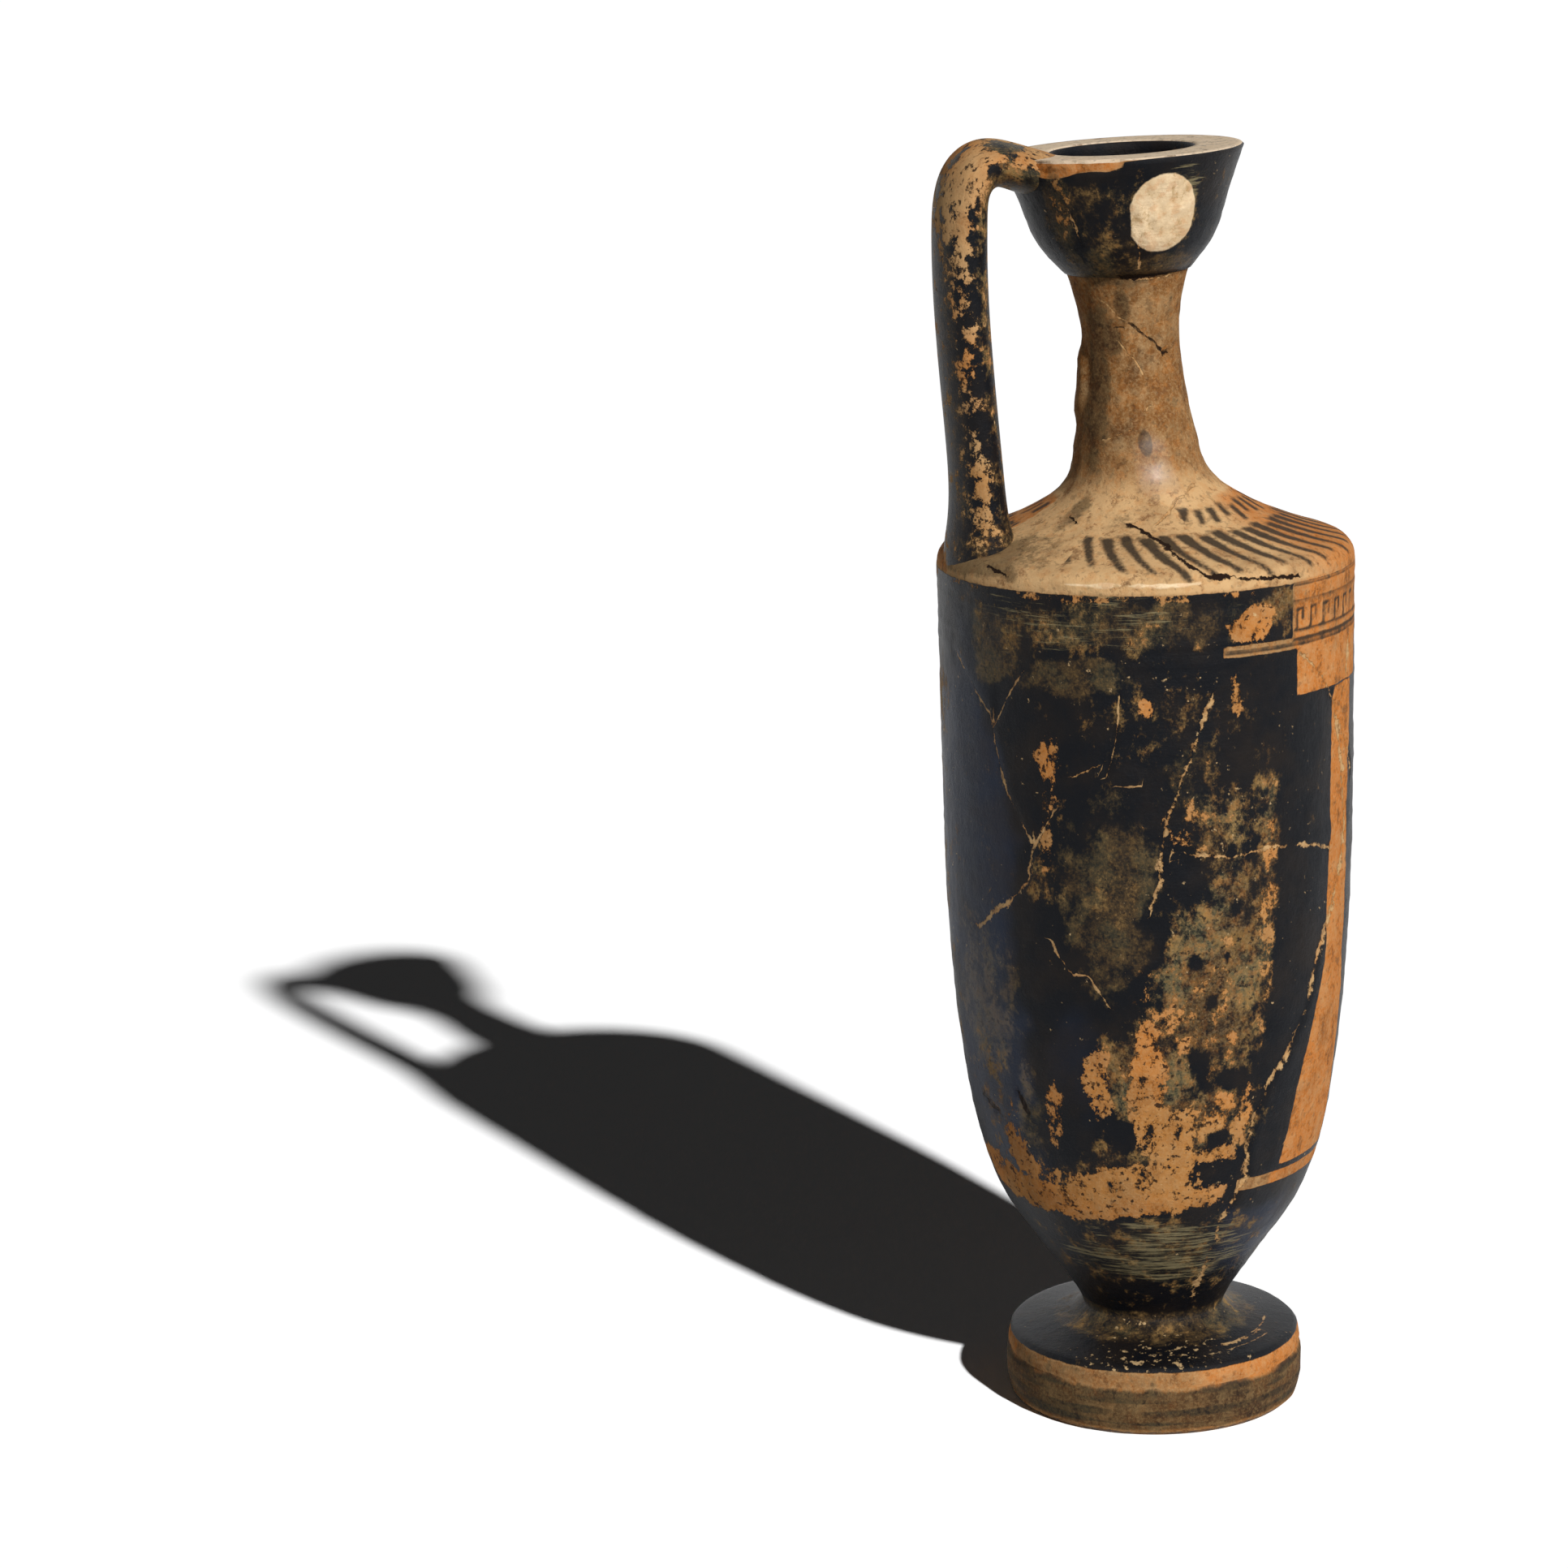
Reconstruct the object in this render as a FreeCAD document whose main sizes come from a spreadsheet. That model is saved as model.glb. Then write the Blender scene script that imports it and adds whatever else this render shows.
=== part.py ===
"""A lekythos, the one-handled oil vase of painted clay.

The potter throws three forms on the wheel: the foot, the body with its shoulder, and the neck with
its mouth. They are joined while the clay is damp, a strap handle is pulled and pressed on, and the
whole is fired as one piece. So there is one sub-part here. Foot, body and shoulder turn about the
upright axis. Neck and mouth turn about an axis that leans a little towards the handle.

The origin is the centre of the foot's resting ring. Z is up, and the handle lies towards -X.
"""
import FreeCAD, Part
import math
import os

import PartDesign
import Sketcher
from FreeCAD import Vector

SHEET = "Sizes"

# Driving sizes in millimetres and degrees, with what each one measures.
SIZES = {
    # Foot
    "foot_base_radius": (25.3, "outer edge of the resting ring"),
    "foot_base_bevel": (0.7, "bevel of that edge"),
    "foot_bulge": (0.9, "how far the convex side stands out past the base"),
    "foot_bulge_height": (6.0, "height of that place"),
    "foot_edge_spread": (0.1, "how much wider the upper edge is than the base"),
    "foot_edge_rise": (12.4, "rise of the upper edge over the ground"),
    "foot_edge_bevel": (0.5, "bevel of the upper edge"),
    "foot_ring_radius": (18.6, "inner edge of the resting ring"),
    "foot_hollow_height": (9.4, "depth of the cone under the foot"),
    "foot_hollow_tip_radius": (3.0, "flat tip of that cone"),
    "foot_line_height": (8.4, "height of the line cut round the foot's side"),
    "foot_line_width": (0.9, "width of that line"),
    "foot_line_depth": (0.45, "depth of that line"),
    "boss_radius": (17.6, "where the foot's top turns up to the stem"),
    "boss_rise": (1.6, "rise of the foot's top to that turn"),
    # Body
    "stem_radius": (12.4, "narrowest place, between foot and body"),
    "stem_rise": (4.2, "rise of the narrowest place over the foot's edge"),
    "stem_turn_radius": (13.2, "half way out of the stem"),
    "stem_turn_rise": (2.0, "rise to that place"),
    "flare_start_radius": (15.3, "start of the body's straight flare"),
    "flare_start_rise": (3.4, "rise to that place"),
    "flare_end_radius": (22.3, "end of the straight flare"),
    "flare_end_rise": (10.0, "rise to that place"),
    "belly_radius": (25.9, "half way round the belly's bend"),
    "belly_rise": (5.6, "rise to that place"),
    "wall_foot_radius": (29.7, "where the belly's bend meets the wall"),
    "wall_foot_rise": (10.2, "rise to that place"),
    "wall_low_radius": (32.15, "half way up the bending wall"),
    "wall_low_rise": (12.6, "rise to that place"),
    "wall_middle_radius": (34.0, "wall at the middle of the body"),
    "wall_middle_rise": (16.2, "rise to that place"),
    "wall_high_radius": (34.85, "half way up the wall's last bend"),
    "wall_high_rise": (13.4, "rise to that place"),
    "wall_straight_radius": (35.3, "start of the wall's straight run"),
    "wall_straight_rise": (14.0, "rise to that place"),
    "shoulder_radius": (35.8, "greatest radius, under the shoulder's edge"),
    "shoulder_rise": (46.0, "rise of the wall's straight run"),
    "shoulder_edge_radius": (35.05, "half way round the shoulder's edge"),
    "shoulder_edge_rise": (2.5, "rise to that place"),
    "slope_start_radius": (32.8, "start of the shoulder's slope"),
    "slope_start_rise": (1.4, "rise of that start over the point before"),
    "slope_middle_radius": (24.6, "where the shoulder starts to steepen"),
    "slope_middle_rise": (2.8, "rise to that place"),
    "slope_bend_radius": (16.9, "where it steepens more, towards the neck"),
    "slope_bend_rise": (3.9, "rise to that place"),
    "slope_inner_radius": (13.0, "half way up the steep part"),
    "slope_inner_rise": (3.15, "rise to that place"),
    "slope_top_radius": (9.6, "where the slope runs in under the neck"),
    "slope_top_rise": (3.85, "rise to the slope's upper end"),
    "body_wall": (4.4, "thickness of the body's wall"),
    "body_floor_rise": (9.4, "clay under the body's inside, over the stem"),
    "body_floor_radius": (7.0, "flat part of that bottom"),
    "shoulder_wall": (4.6, "thickness of the shoulder"),
    # Neck and mouth, with rises as they would be if the neck stood upright
    "lean_angle": (2.1, "lean of neck and mouth towards the handle"),
    "pivot_drop": (16.0, "where the leaning axis leaves the upright one, under the wall's top"),
    "neck_root_radius": (12.7, "neck inside the top of the shoulder"),
    "neck_root_rise": (2.3, "rise of the neck's start over the middle of the slope"),
    "neck_bend_radius": (9.6, "end of the lower taper"),
    "neck_bend_rise": (15.8, "rise of that end over the neck's start"),
    "neck_middle_radius": (8.6, "neck on its way to the narrowest place"),
    "neck_middle_rise": (7.7, "rise to that place"),
    "neck_narrow_radius": (8.4, "narrowest place of the neck"),
    "neck_narrow_rise": (5.6, "rise to that place"),
    "neck_flare_radius": (9.0, "half way up the flare under the mouth"),
    "neck_flare_rise": (6.8, "rise to that place"),
    "neck_top_radius": (10.4, "neck under the mouth"),
    "neck_top_rise": (4.9, "rise of the joint with the mouth"),
    "neck_root_fillet": (3.0, "smoothing of shoulder into neck"),
    "joint_ledge": (0.4, "how far the mouth stands out over the neck"),
    "mouth_low_radius": (13.9, "half way round the mouth's underside"),
    "mouth_low_rise": (3.6, "rise to that place"),
    "mouth_bend_radius": (16.2, "where the underside meets the flaring wall"),
    "mouth_bend_rise": (4.4, "rise to that place"),
    "mouth_wall_radius": (18.1, "half way up the flaring wall"),
    "mouth_wall_rise": (6.0, "rise to that place"),
    "rim_radius": (20.5, "outer edge of the rim"),
    "rim_rise": (6.3, "rise of the rim's top over that place"),
    "rim_bevel": (0.45, "bevel of the rim's outer edge"),
    "opening_bevel": (0.4, "bevel of the opening's edge"),
    "opening_radius": (12.1, "opening inside the flat rim"),
    "opening_depth": (2.2, "how far the opening drops straight"),
    "funnel_radius": (9.8, "half way down the mouth's inside"),
    "funnel_depth": (11.9, "depth of that place below the rim"),
    "bore_radius": (4.5, "bore of the neck"),
    "bore_top_depth": (18.4, "start of the bore below the rim"),
    # Handle
    "strap_thickness": (8.5, "strap across, towards the neck"),
    "strap_width": (15.0, "strap across, around the vase"),
    "root_thickness": (13.0, "strap where it spreads on the shoulder"),
    "root_width": (19.0, "width of that spread"),
    "root_reach": (29.4, "distance of the root from the axis"),
    "root_rise": (2.6, "rise of the spread root over the wall's top"),
    "root_sink": (1.4, "how far the root's foot is drawn in, under the wall"),
    "root_spread": (14.0, "height over which the spread fades"),
    "handle_reach": (31.7, "distance of the upright run from the axis"),
    "bend_thickness": (10.0, "strap across, half way round the bend"),
    "bend_radius": (7.2, "bend at the top, at the strap's middle"),
    "crest_drop": (2.0, "middle of the strap over the bend, under the rim"),
    "crest_thickness": (8.0, "strap across, where it leaves the bend"),
    "graft_reach": (18.0, "where the strap spreads on the mouth's wall"),
    "graft_drop": (6.3, "middle of that spread, under the rim"),
    "graft_tilt": (112.0, "turn of the strap there, past straight up"),
    "graft_thickness": (9.4, "strap's height in the wall"),
    "graft_width": (20.6, "width of the spread"),
    "graft_depth": (3.6, "how far it runs on into the wall"),
}

# The outline's points from the ground up. Each rise is measured from the point before it, and the
# neck's first one from the middle of the slope.
BODY_ORDER = (
    "foot_edge", "stem", "stem_turn", "flare_start", "flare_end", "belly", "wall_foot", "wall_low",
    "wall_middle", "wall_high", "wall_straight", "shoulder", "shoulder_edge", "slope_start",
    "slope_middle", "slope_bend", "slope_inner", "slope_top",
)
NECK_ORDER = (
    "neck_root", "neck_bend", "neck_middle", "neck_narrow", "neck_flare", "neck_top", "mouth_low",
    "mouth_bend", "mouth_wall", "rim",
)


class Size:
    """A number with the expression that keeps it tied to the sheet."""

    def __init__(self, value, text):
        self.value = value
        self.text = text

    def join(self, sign, other, value):
        text = other.text if isinstance(other, Size) else str(other)
        return Size(value, f"({self.text} {sign} {text})")

    def __add__(self, other):
        return self.join("+", other, self.value + number(other))

    def __sub__(self, other):
        return self.join("-", other, self.value - number(other))

    def __mul__(self, other):
        return self.join("*", other, self.value * number(other))

    def __neg__(self):
        return Size(-self.value, f"(0 - {self.text})")


def number(value):
    """The plain number of a Size or of a number."""
    return value.value if isinstance(value, Size) else value


def size(name):
    """One driving size."""
    return Size(SIZES[name][0], f"{SHEET}.{name}")


def sine(angle):
    """Sine of an angle in degrees."""
    return math.sin(math.radians(angle))


def cosine(angle):
    """Cosine of an angle in degrees."""
    return math.cos(math.radians(angle))


def mix(first, second, share):
    """A size part of the way from the first one to the second."""
    return first + (second - first) * share


def write_sheet(doc):
    """Puts each driving size in the sheet under its own name."""
    sheet = doc.addObject("Spreadsheet::Sheet", SHEET)
    for row, (name, (value, note)) in enumerate(SIZES.items(), 1):
        sheet.set(f"A{row}", name)
        sheet.set(f"B{row}", str(value))
        sheet.set(f"C{row}", note)
        sheet.setAlias(f"B{row}", name)
    doc.recompute()
    return sheet


def new_sketch(body, name, role):
    """An empty sketch on one of the body's own origin planes."""
    plane = next(item for item in body.Origin.OriginFeatures if item.Role == role)
    sketch = body.newObject("Sketcher::SketchObject", name)
    sketch.AttachmentSupport = [(plane, "")]
    sketch.MapMode = "FlatFace"
    return sketch


def lean(sketch):
    """Tips an upright sketch about the pivot, onto the axis of neck and mouth."""
    straight = "rotation(vector(0; 0; 1); 0)"
    tipped = f"rotation(vector(0; 0; 1); {SHEET}.lean_angle)"
    pivot = height("shoulder") - size("pivot_drop")
    up = f"placement(vector(0; {pivot.text}; 0); {tipped})"
    down = f"placement(vector(0; {(-pivot).text}; 0); {straight})"
    sketch.setExpression("AttachmentOffset", f"{up} * {down}")


def fix_point(sketch, item, place, point):
    """Ties one end or centre of the sketch to its two sizes."""
    for kind, axis, coordinate in (("DistanceX", -2, point[0]), ("DistanceY", -1, point[1])):
        if number(coordinate) == 0:
            sketch.addConstraint(Sketcher.Constraint("PointOnObject", item, place, axis))
            continue
        index = sketch.addConstraint(
            Sketcher.Constraint(kind, -1, 1, item, place, number(coordinate)))
        if isinstance(coordinate, Size):
            sketch.setExpression(f"Constraints[{index}]", coordinate.text)


def draw_arc(sketch, start, through, end):
    """An arc from end to end through a third point, which is tied to its sizes here."""
    places = [Vector(*(number(value) for value in point), 0) for point in (start, through, end)]
    arc = Part.Arc(*places)
    item = sketch.addGeometry(arc)
    mark = sketch.addGeometry(Part.Point(places[1]), True)
    fix_point(sketch, mark, 1, through)
    sketch.addConstraint(Sketcher.Constraint("PointOnObject", mark, 1, item))
    turns_left = (places[1] - places[0]).cross(places[2] - places[1]).z > 0
    return item, (1, 2) if turns_left else (2, 1)


def draw_outline(sketch, start, spans):
    """Draws a closed outline from spans: one point ends a line, two are an arc's middle and end."""
    items = []
    here = start
    for span in spans:
        if len(span) == 1:
            ends = [Vector(*(number(value) for value in point), 0) for point in (here, span[0])]
            items.append((sketch.addGeometry(Part.LineSegment(*ends)), (1, 2)))
        else:
            items.append(draw_arc(sketch, here, *span))
        here = span[-1]
    first, ends = items[0]
    fix_point(sketch, first, ends[0], start)
    for (item, ends), (after, after_ends), span in zip(items, items[1:] + items[:1], spans):
        sketch.addConstraint(Sketcher.Constraint("Coincident", item, ends[1], after, after_ends[0]))
        if after != first:
            fix_point(sketch, item, ends[1], span[-1])


def turn(body, kind, name, sketch):
    """Turns a sketch once round its own upright axis, as clay or as a hollow."""
    feature = body.newObject(kind, name)
    feature.Profile = sketch
    feature.ReferenceAxis = (sketch, ["V_Axis"])
    feature.Angle = 360
    return feature


def height(name):
    """Height of an outline's point: the rises of the points up to it, added together."""
    order = BODY_ORDER if name in BODY_ORDER else NECK_ORDER
    total = size(f"{order[0]}_rise")
    if order == NECK_ORDER:
        total = height("slope_middle") + total
    for step in order[1:order.index(name) + 1]:
        total = total + size(f"{step}_rise")
    return total


def place(name):
    """A driven point of an outline, from its own sizes and the rises under it."""
    return size(f"{name}_radius"), height(name)


def bevel(corner, width, into_first, into_second):
    """The two ends of a narrow bevel over a corner, each by its way along one side."""
    return [[(corner[0] + width * along[0], corner[1] + width * along[1])]
            for along in (into_first, into_second)]


def foot_and_body(body):
    """The foot, stem, body and shoulder as one solid turning."""
    foot_top = height("foot_edge") + size("boss_rise")
    base = size("foot_base_radius")
    edge_corner = (base + size("foot_edge_spread"), height("foot_edge"))
    edge = bevel(edge_corner, size("foot_edge_bevel"), (0, -1), (-1, 0))
    sketch = new_sketch(body, "body_outline", "XZ_Plane")
    draw_outline(sketch, (0, 0), [
        [(base - size("foot_base_bevel"), 0)],
        [(base, size("foot_base_bevel"))],
        [(base + size("foot_bulge"), size("foot_bulge_height")), *edge[0]],
        edge[1],
        [(size("boss_radius"), foot_top)],
        [(mix(size("boss_radius"), size("stem_radius"), 0.6),
          mix(foot_top, height("stem"), 0.25))],
        [place("stem")],
        [place("stem_turn"), place("flare_start")],
        [place("flare_end")],
        [place("belly"), place("wall_foot")],
        [place("wall_low"), place("wall_middle")],
        [place("wall_high"), place("wall_straight")],
        [place("shoulder")],
        [place("shoulder_edge"), place("slope_start")],
        [place("slope_middle")],
        [place("slope_bend")],
        [place("slope_inner"), place("slope_top")],
        [(0, height("slope_top"))],
        [(0, 0)],
    ])
    return turn(body, "PartDesign::Revolution", "foot_and_body", sketch)


def neck_and_mouth(body):
    """The neck and the flaring mouth, turned on their leaning axis."""
    joint_radius = size("neck_top_radius") + size("joint_ledge")
    rim = bevel(place("rim"), size("rim_bevel"), (0, -1), (-1, 0))
    sketch = new_sketch(body, "neck_outline", "XZ_Plane")
    lean(sketch)
    draw_outline(sketch, (0, height("neck_root")), [
        [place("neck_root")],
        [place("neck_bend")],
        [place("neck_middle"), place("neck_narrow")],
        [place("neck_flare"), place("neck_top")],
        [(joint_radius, height("neck_top"))],
        [place("mouth_low"), place("mouth_bend")],
        [place("mouth_wall"), *rim[0]],
        rim[1],
        [(0, height("rim"))],
        [(0, height("neck_root"))],
    ])
    return turn(body, "PartDesign::Revolution", "neck_and_mouth", sketch)


def strap_section(body, name, reach, height, tilt, thickness, width):
    """One oval section of the strap. At no tilt the strap runs straight up."""
    sketch = new_sketch(body, name, "XY_Plane")
    oval = sketch.addGeometry(Part.Ellipse(
        Vector(0, number(width) / 2, 0), Vector(-number(thickness) / 2, 0, 0), Vector(0, 0, 0)))
    sketch.exposeInternalGeometry(oval)
    long_axis, short_axis = oval + 1, oval + 2
    sketch.addConstraint(Sketcher.Constraint("Coincident", oval, 3, -1, 1))
    sketch.addConstraint(Sketcher.Constraint("Vertical", long_axis))
    for axis, length in ((long_axis, width), (short_axis, thickness)):
        index = sketch.addConstraint(Sketcher.Constraint("Distance", axis, number(length)))
        sketch.setExpression(f"Constraints[{index}]", length.text)
    place = f"vector({(-reach).text}; 0; {height.text})"
    turned = f"rotation(vector(0; 1; 0); {tilt.text if isinstance(tilt, Size) else tilt})"
    sketch.setExpression("AttachmentOffset", f"placement({place}; {turned})")
    return sketch


def handle(body):
    """The strap: spread on the shoulder, straight up, bent over and spread into the mouth."""
    strap = (size("strap_thickness"), size("strap_width"))
    root = (size("root_thickness"), size("root_width"))
    crest = (size("crest_thickness"), size("strap_width"))
    root_reach, reach = size("root_reach"), size("handle_reach")
    root_height = height("shoulder") + size("root_rise")
    spread_top = root_height + size("root_spread")
    bend = size("bend_radius")
    bend_start = height("rim") - size("crest_drop") - bend
    stations = [
        (root_reach - size("root_sink"), root_height - strap[0] * 0.7, 0, *root),
        (root_reach, root_height, 0, *root),
        (mix(root_reach, reach, 0.1), mix(root_height, spread_top, 0.4), 0,
         mix(root[0], strap[0], 0.66), mix(root[1], strap[1], 0.6)),
    ]
    for share, out in ((0, 0.2), (0.33, 0.62), (0.67, 0.91), (1, 1)):
        stations.append((mix(root_reach, reach, out), mix(spread_top, bend_start, share), 0, *strap))
    for angle, thickness in ((45, size("bend_thickness")), (90, crest[0])):
        inward = bend * (1 - cosine(angle))
        upward = bend * sine(angle)
        stations.append((reach - inward, bend_start + upward, angle, thickness, strap[1]))
    graft = (size("graft_thickness"), size("graft_width"))
    graft_reach = size("graft_reach")
    graft_height = height("rim") - size("graft_drop")
    stations.append((graft_reach, graft_height, size("graft_tilt"), *graft))
    stations.append((graft_reach - size("graft_depth"), graft_height - size("graft_depth") * 0.4,
                     size("graft_tilt"), *graft))
    sections = [strap_section(body, f"strap_section_{order:02d}", *station)
                for order, station in enumerate(stations)]
    feature = body.newObject("PartDesign::AdditiveLoft", "handle")
    feature.Profile = sections[0]
    feature.Sections = sections[1:]
    feature.Ruled = False
    return feature


def hollow_body(body):
    """The space inside the body, a wall's thickness in from the outside."""
    wall = size("body_wall")
    roof = size("shoulder_wall")
    floor = height("stem") + size("body_floor_rise")

    def inside(name):
        radius, level = place(name)
        return radius - wall, level

    def under(name):
        radius, level = place(name)
        return radius, level - roof

    top = height("slope_top") - roof
    sketch = new_sketch(body, "body_space", "XZ_Plane")
    draw_outline(sketch, (0, floor), [
        [(size("body_floor_radius"), floor)],
        [inside("flare_end")],
        [inside("wall_foot")],
        [inside("wall_middle")],
        [inside("wall_straight")],
        [inside("shoulder")],
        [under("slope_middle")],
        [under("slope_bend")],
        [(size("bore_radius"), top)],
        [(0, top)],
        [(0, floor)],
    ])
    return turn(body, "PartDesign::Groove", "body_space_cut", sketch)


def hollow_neck(body):
    """The mouth's funnel and the bore down through the neck into the body."""
    rim = height("rim")
    foot = height("shoulder") - size("pivot_drop")
    edge = bevel((size("opening_radius"), rim), size("opening_bevel"), (0, -1), (1, 0))
    sketch = new_sketch(body, "mouth_space", "XZ_Plane")
    lean(sketch)
    draw_outline(sketch, (0, rim + 1), [
        [(0, foot)],
        [(size("bore_radius"), foot)],
        [(size("bore_radius"), rim - size("bore_top_depth"))],
        [(size("funnel_radius"), rim - size("funnel_depth"))],
        [(size("opening_radius"), rim - size("opening_depth"))],
        *edge,
        [(size("opening_radius") + size("opening_bevel"), rim + 1)],
        [(0, rim + 1)],
    ])
    return turn(body, "PartDesign::Groove", "mouth_space_cut", sketch)


def hollow_foot(body):
    """The cone under the foot."""
    cone = new_sketch(body, "foot_cone", "XZ_Plane")
    draw_outline(cone, (0, 0), [
        [(size("foot_ring_radius"), 0)],
        [(size("foot_hollow_tip_radius"), size("foot_hollow_height"))],
        [(0, size("foot_hollow_height"))],
        [(0, 0)],
    ])
    turn(body, "PartDesign::Groove", "foot_cone_cut", cone)


def foot_line(body):
    """The line cut round the foot's side, where that side stands out most."""
    side = size("foot_base_radius") + size("foot_bulge")
    bottom = side - size("foot_line_depth")
    outside = side + size("foot_line_depth")
    middle = size("foot_line_height")
    line = new_sketch(body, "foot_line", "XZ_Plane")
    draw_outline(line, (bottom, middle), [
        [(outside, middle - size("foot_line_width"))],
        [(outside, middle + size("foot_line_width"))],
        [(bottom, middle)],
    ])
    turn(body, "PartDesign::Groove", "foot_line_cut", line)


def rings(shape, low, high, reach):
    """Names of the round edges between two heights that reach at least so far from the axis."""
    names = []
    for order, edge in enumerate(shape.Edges, 1):
        box = edge.BoundBox
        round_about = box.XMin < 0 < box.XMax and max(box.XMax, box.YMax, -box.YMin) > reach
        if round_about and low < box.ZMin and box.ZMax < high:
            names.append(f"Edge{order}")
    return names


def soften(body, name, edges, radius):
    """Rounds or fills edges of the body as it stands."""
    base = body.Tip
    fillet = body.newObject("PartDesign::Fillet", name)
    fillet.Base = (base, edges)
    fillet.setExpression("Radius", f"{SHEET}.{radius}")
    return fillet


def soften_neck_root(body):
    """Fills the corner where the neck was set on the shoulder."""
    edges = rings(body.Shape, number(height("slope_bend")), number(height("neck_bend")), 5)
    soften(body, "neck_root_fillet", edges, "neck_root_fillet")


def broken(item):
    """True where an object of the document failed."""
    return any(word in state for state in item.State for word in ("Invalid", "Error"))


def check(doc, body):
    """Stops before anything is written if an object failed or the solid is not sound."""
    failed = [item.Name for item in doc.Objects if broken(item)]
    if failed:
        raise RuntimeError(f"these objects failed: {failed}")
    shape = body.Shape
    if shape.isNull() or not shape.isValid() or len(shape.Solids) != 1:
        raise RuntimeError("the vase is not one sound solid")


def main():
    doc = FreeCAD.newDocument("lekythos")
    write_sheet(doc)
    body = doc.addObject("PartDesign::Body", "lekythos")
    body.Label = "lekythos"
    added = (foot_and_body, neck_and_mouth, handle, soften_neck_root)
    volume = 0.0
    for step in (foot_and_body, neck_and_mouth, soften_neck_root, handle, hollow_body, hollow_neck,
                 hollow_foot, foot_line):
        step(body)
        doc.recompute()
        if (body.Shape.Volume > volume) != (step in added):
            raise RuntimeError(f"{step.__name__} changed the volume the wrong way or not at all")
        volume = body.Shape.Volume
        print(f"{step.__name__}: {volume / 1000:.2f} cubic centimetres")
    check(doc, body)
    os.makedirs("parts", exist_ok=True)
    body.Shape.exportStep("parts/lekythos.step")


main()
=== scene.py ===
"""Looks of the lekythos: one slip-painted clay vase with its strap handle, its floor, light and camera."""

import math

import bmesh
import bpy
import numpy as np
from bpy.props import FloatProperty, FloatVectorProperty, IntProperty, PointerProperty
from mathutils import Matrix, Vector, noise


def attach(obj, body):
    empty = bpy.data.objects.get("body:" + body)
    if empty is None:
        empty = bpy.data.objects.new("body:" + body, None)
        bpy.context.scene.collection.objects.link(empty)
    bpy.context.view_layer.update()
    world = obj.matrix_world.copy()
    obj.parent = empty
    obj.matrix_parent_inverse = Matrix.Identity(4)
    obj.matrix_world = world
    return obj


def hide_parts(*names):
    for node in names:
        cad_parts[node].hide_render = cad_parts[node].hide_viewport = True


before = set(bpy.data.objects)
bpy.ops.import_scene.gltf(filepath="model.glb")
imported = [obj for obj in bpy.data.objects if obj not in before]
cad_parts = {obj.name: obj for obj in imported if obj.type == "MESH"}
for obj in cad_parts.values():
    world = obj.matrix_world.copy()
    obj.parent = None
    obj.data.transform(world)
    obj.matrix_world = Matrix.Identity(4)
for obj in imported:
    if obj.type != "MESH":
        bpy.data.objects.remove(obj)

bl_info = {
    "name": "Lekythos",
    "version": (1, 0, 0),
    "blender": (4, 5, 0),
    "location": "3D View > Sidebar > Lekythos",
    "description": "Builds a slip-painted clay oil vase with its stage",
    "category": "Object",
}

MM = 0.001

# The outline, as distance from the axis and height in mm. Curved runs are the poles of smooth curves.
UNDER_FOOT = ((0.0, 9.4), (3.0, 9.4), (18.6, 0.0), (24.6, 0.0))
FOOT_SIDE = ((25.3, 0.7), (27.0, 5.2), (25.4, 11.9))
FOOT_TOP = ((24.9, 12.4), (19.0, 13.6), (14.5, 14.65), (12.5, 16.4))
BODY = ((12.4, 16.6), (12.4, 18.1), (21.9, 31.6), (30.1, 42.4), (35.8, 85.5), (35.4, 126.3), (35.8, 150.0))
SHOULDER_EDGE = ((35.8, 150.0), (35.8, 153.0), (32.8, 153.9))
SLOPE = ((32.8, 153.9), (25.5, 156.1), (16.5, 160.2), (11.2, 164.6), (10.7, 170.0))
NECK = ((10.7, 170.0), (9.0, 178.0), (7.9, 186.0), (8.4, 194.0), (10.4, 199.8))
MOUTH = ((10.8, 199.8), (17.2, 206.4), (15.2, 207.0), (20.5, 219.65))
RIM = ((20.05, 220.1), (12.5, 220.1))
FUNNEL = ((12.1, 219.7), (12.2, 212.5), (10.0, 205.0), (4.5, 201.7))
BORE = ((4.5, 201.7), (4.5, 163.0))
INSIDE = (
    (20.0, 156.0), (28.4, 151.6), (31.4, 145.4), (31.0, 126.3), (31.4, 85.5), (25.7, 42.4), (17.5, 25.5),
    (0.0, 25.5),
)

# Height in mm above which the body's rows are set close, for the painted band.
FINE_FROM = 137.5

# Strap handle: reach from the axis, height, tilt in degrees, thickness and width in mm.
HANDLE = (
    (28.6, 148.0, 0, 12.5, 18.5), (29.3, 152.6, 0, 13.0, 19.0), (29.7, 157.4, 0, 9.6, 16.0),
    (29.8, 166.0, 0, 8.4, 15.0), (31.1, 181.2, 0, 8.5, 15.0), (32.1, 196.3, 0, 8.5, 15.0),
    (32.1, 208.0, 0, 8.6, 15.0), (31.5, 216.2, 40, 8.8, 15.0), (26.6, 220.0, 80, 8.2, 15.0),
    (21.5, 217.4, 99, 8.0, 16.5), (14.5, 215.2, 100, 8.0, 17.0),
)

# Half thickness of the strap in mm.
STRAP_HALF = 4.2

# How many mm of pattern lie round the strap for each radian.
STRAP_ROUND = 6

# Neck and mouth lean about a point on the axis at this height in mm.
LEAN_CENTRE = 134

# The lean starts at the first of these heights in mm and is whole at the second.
LEAN_HEIGHTS = (153, 169)

# Bare frames in the slip and on the shoulder: left and right turn in degrees, low and high edge in mm.
BAND = (-67, 90, 138.9, 150.0)
STRIP = (-89, 90, 138.9, 140.8)
GROUND_LINE = (-176, 100, 44.3, 46.5)
# Painted highlight along the shoulder's rounded front edge, over its crumbly scrape:
EDGE_HIGHLIGHT_AND_SCRAPE = (-132, -95, 151.4, 151.9)

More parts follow.
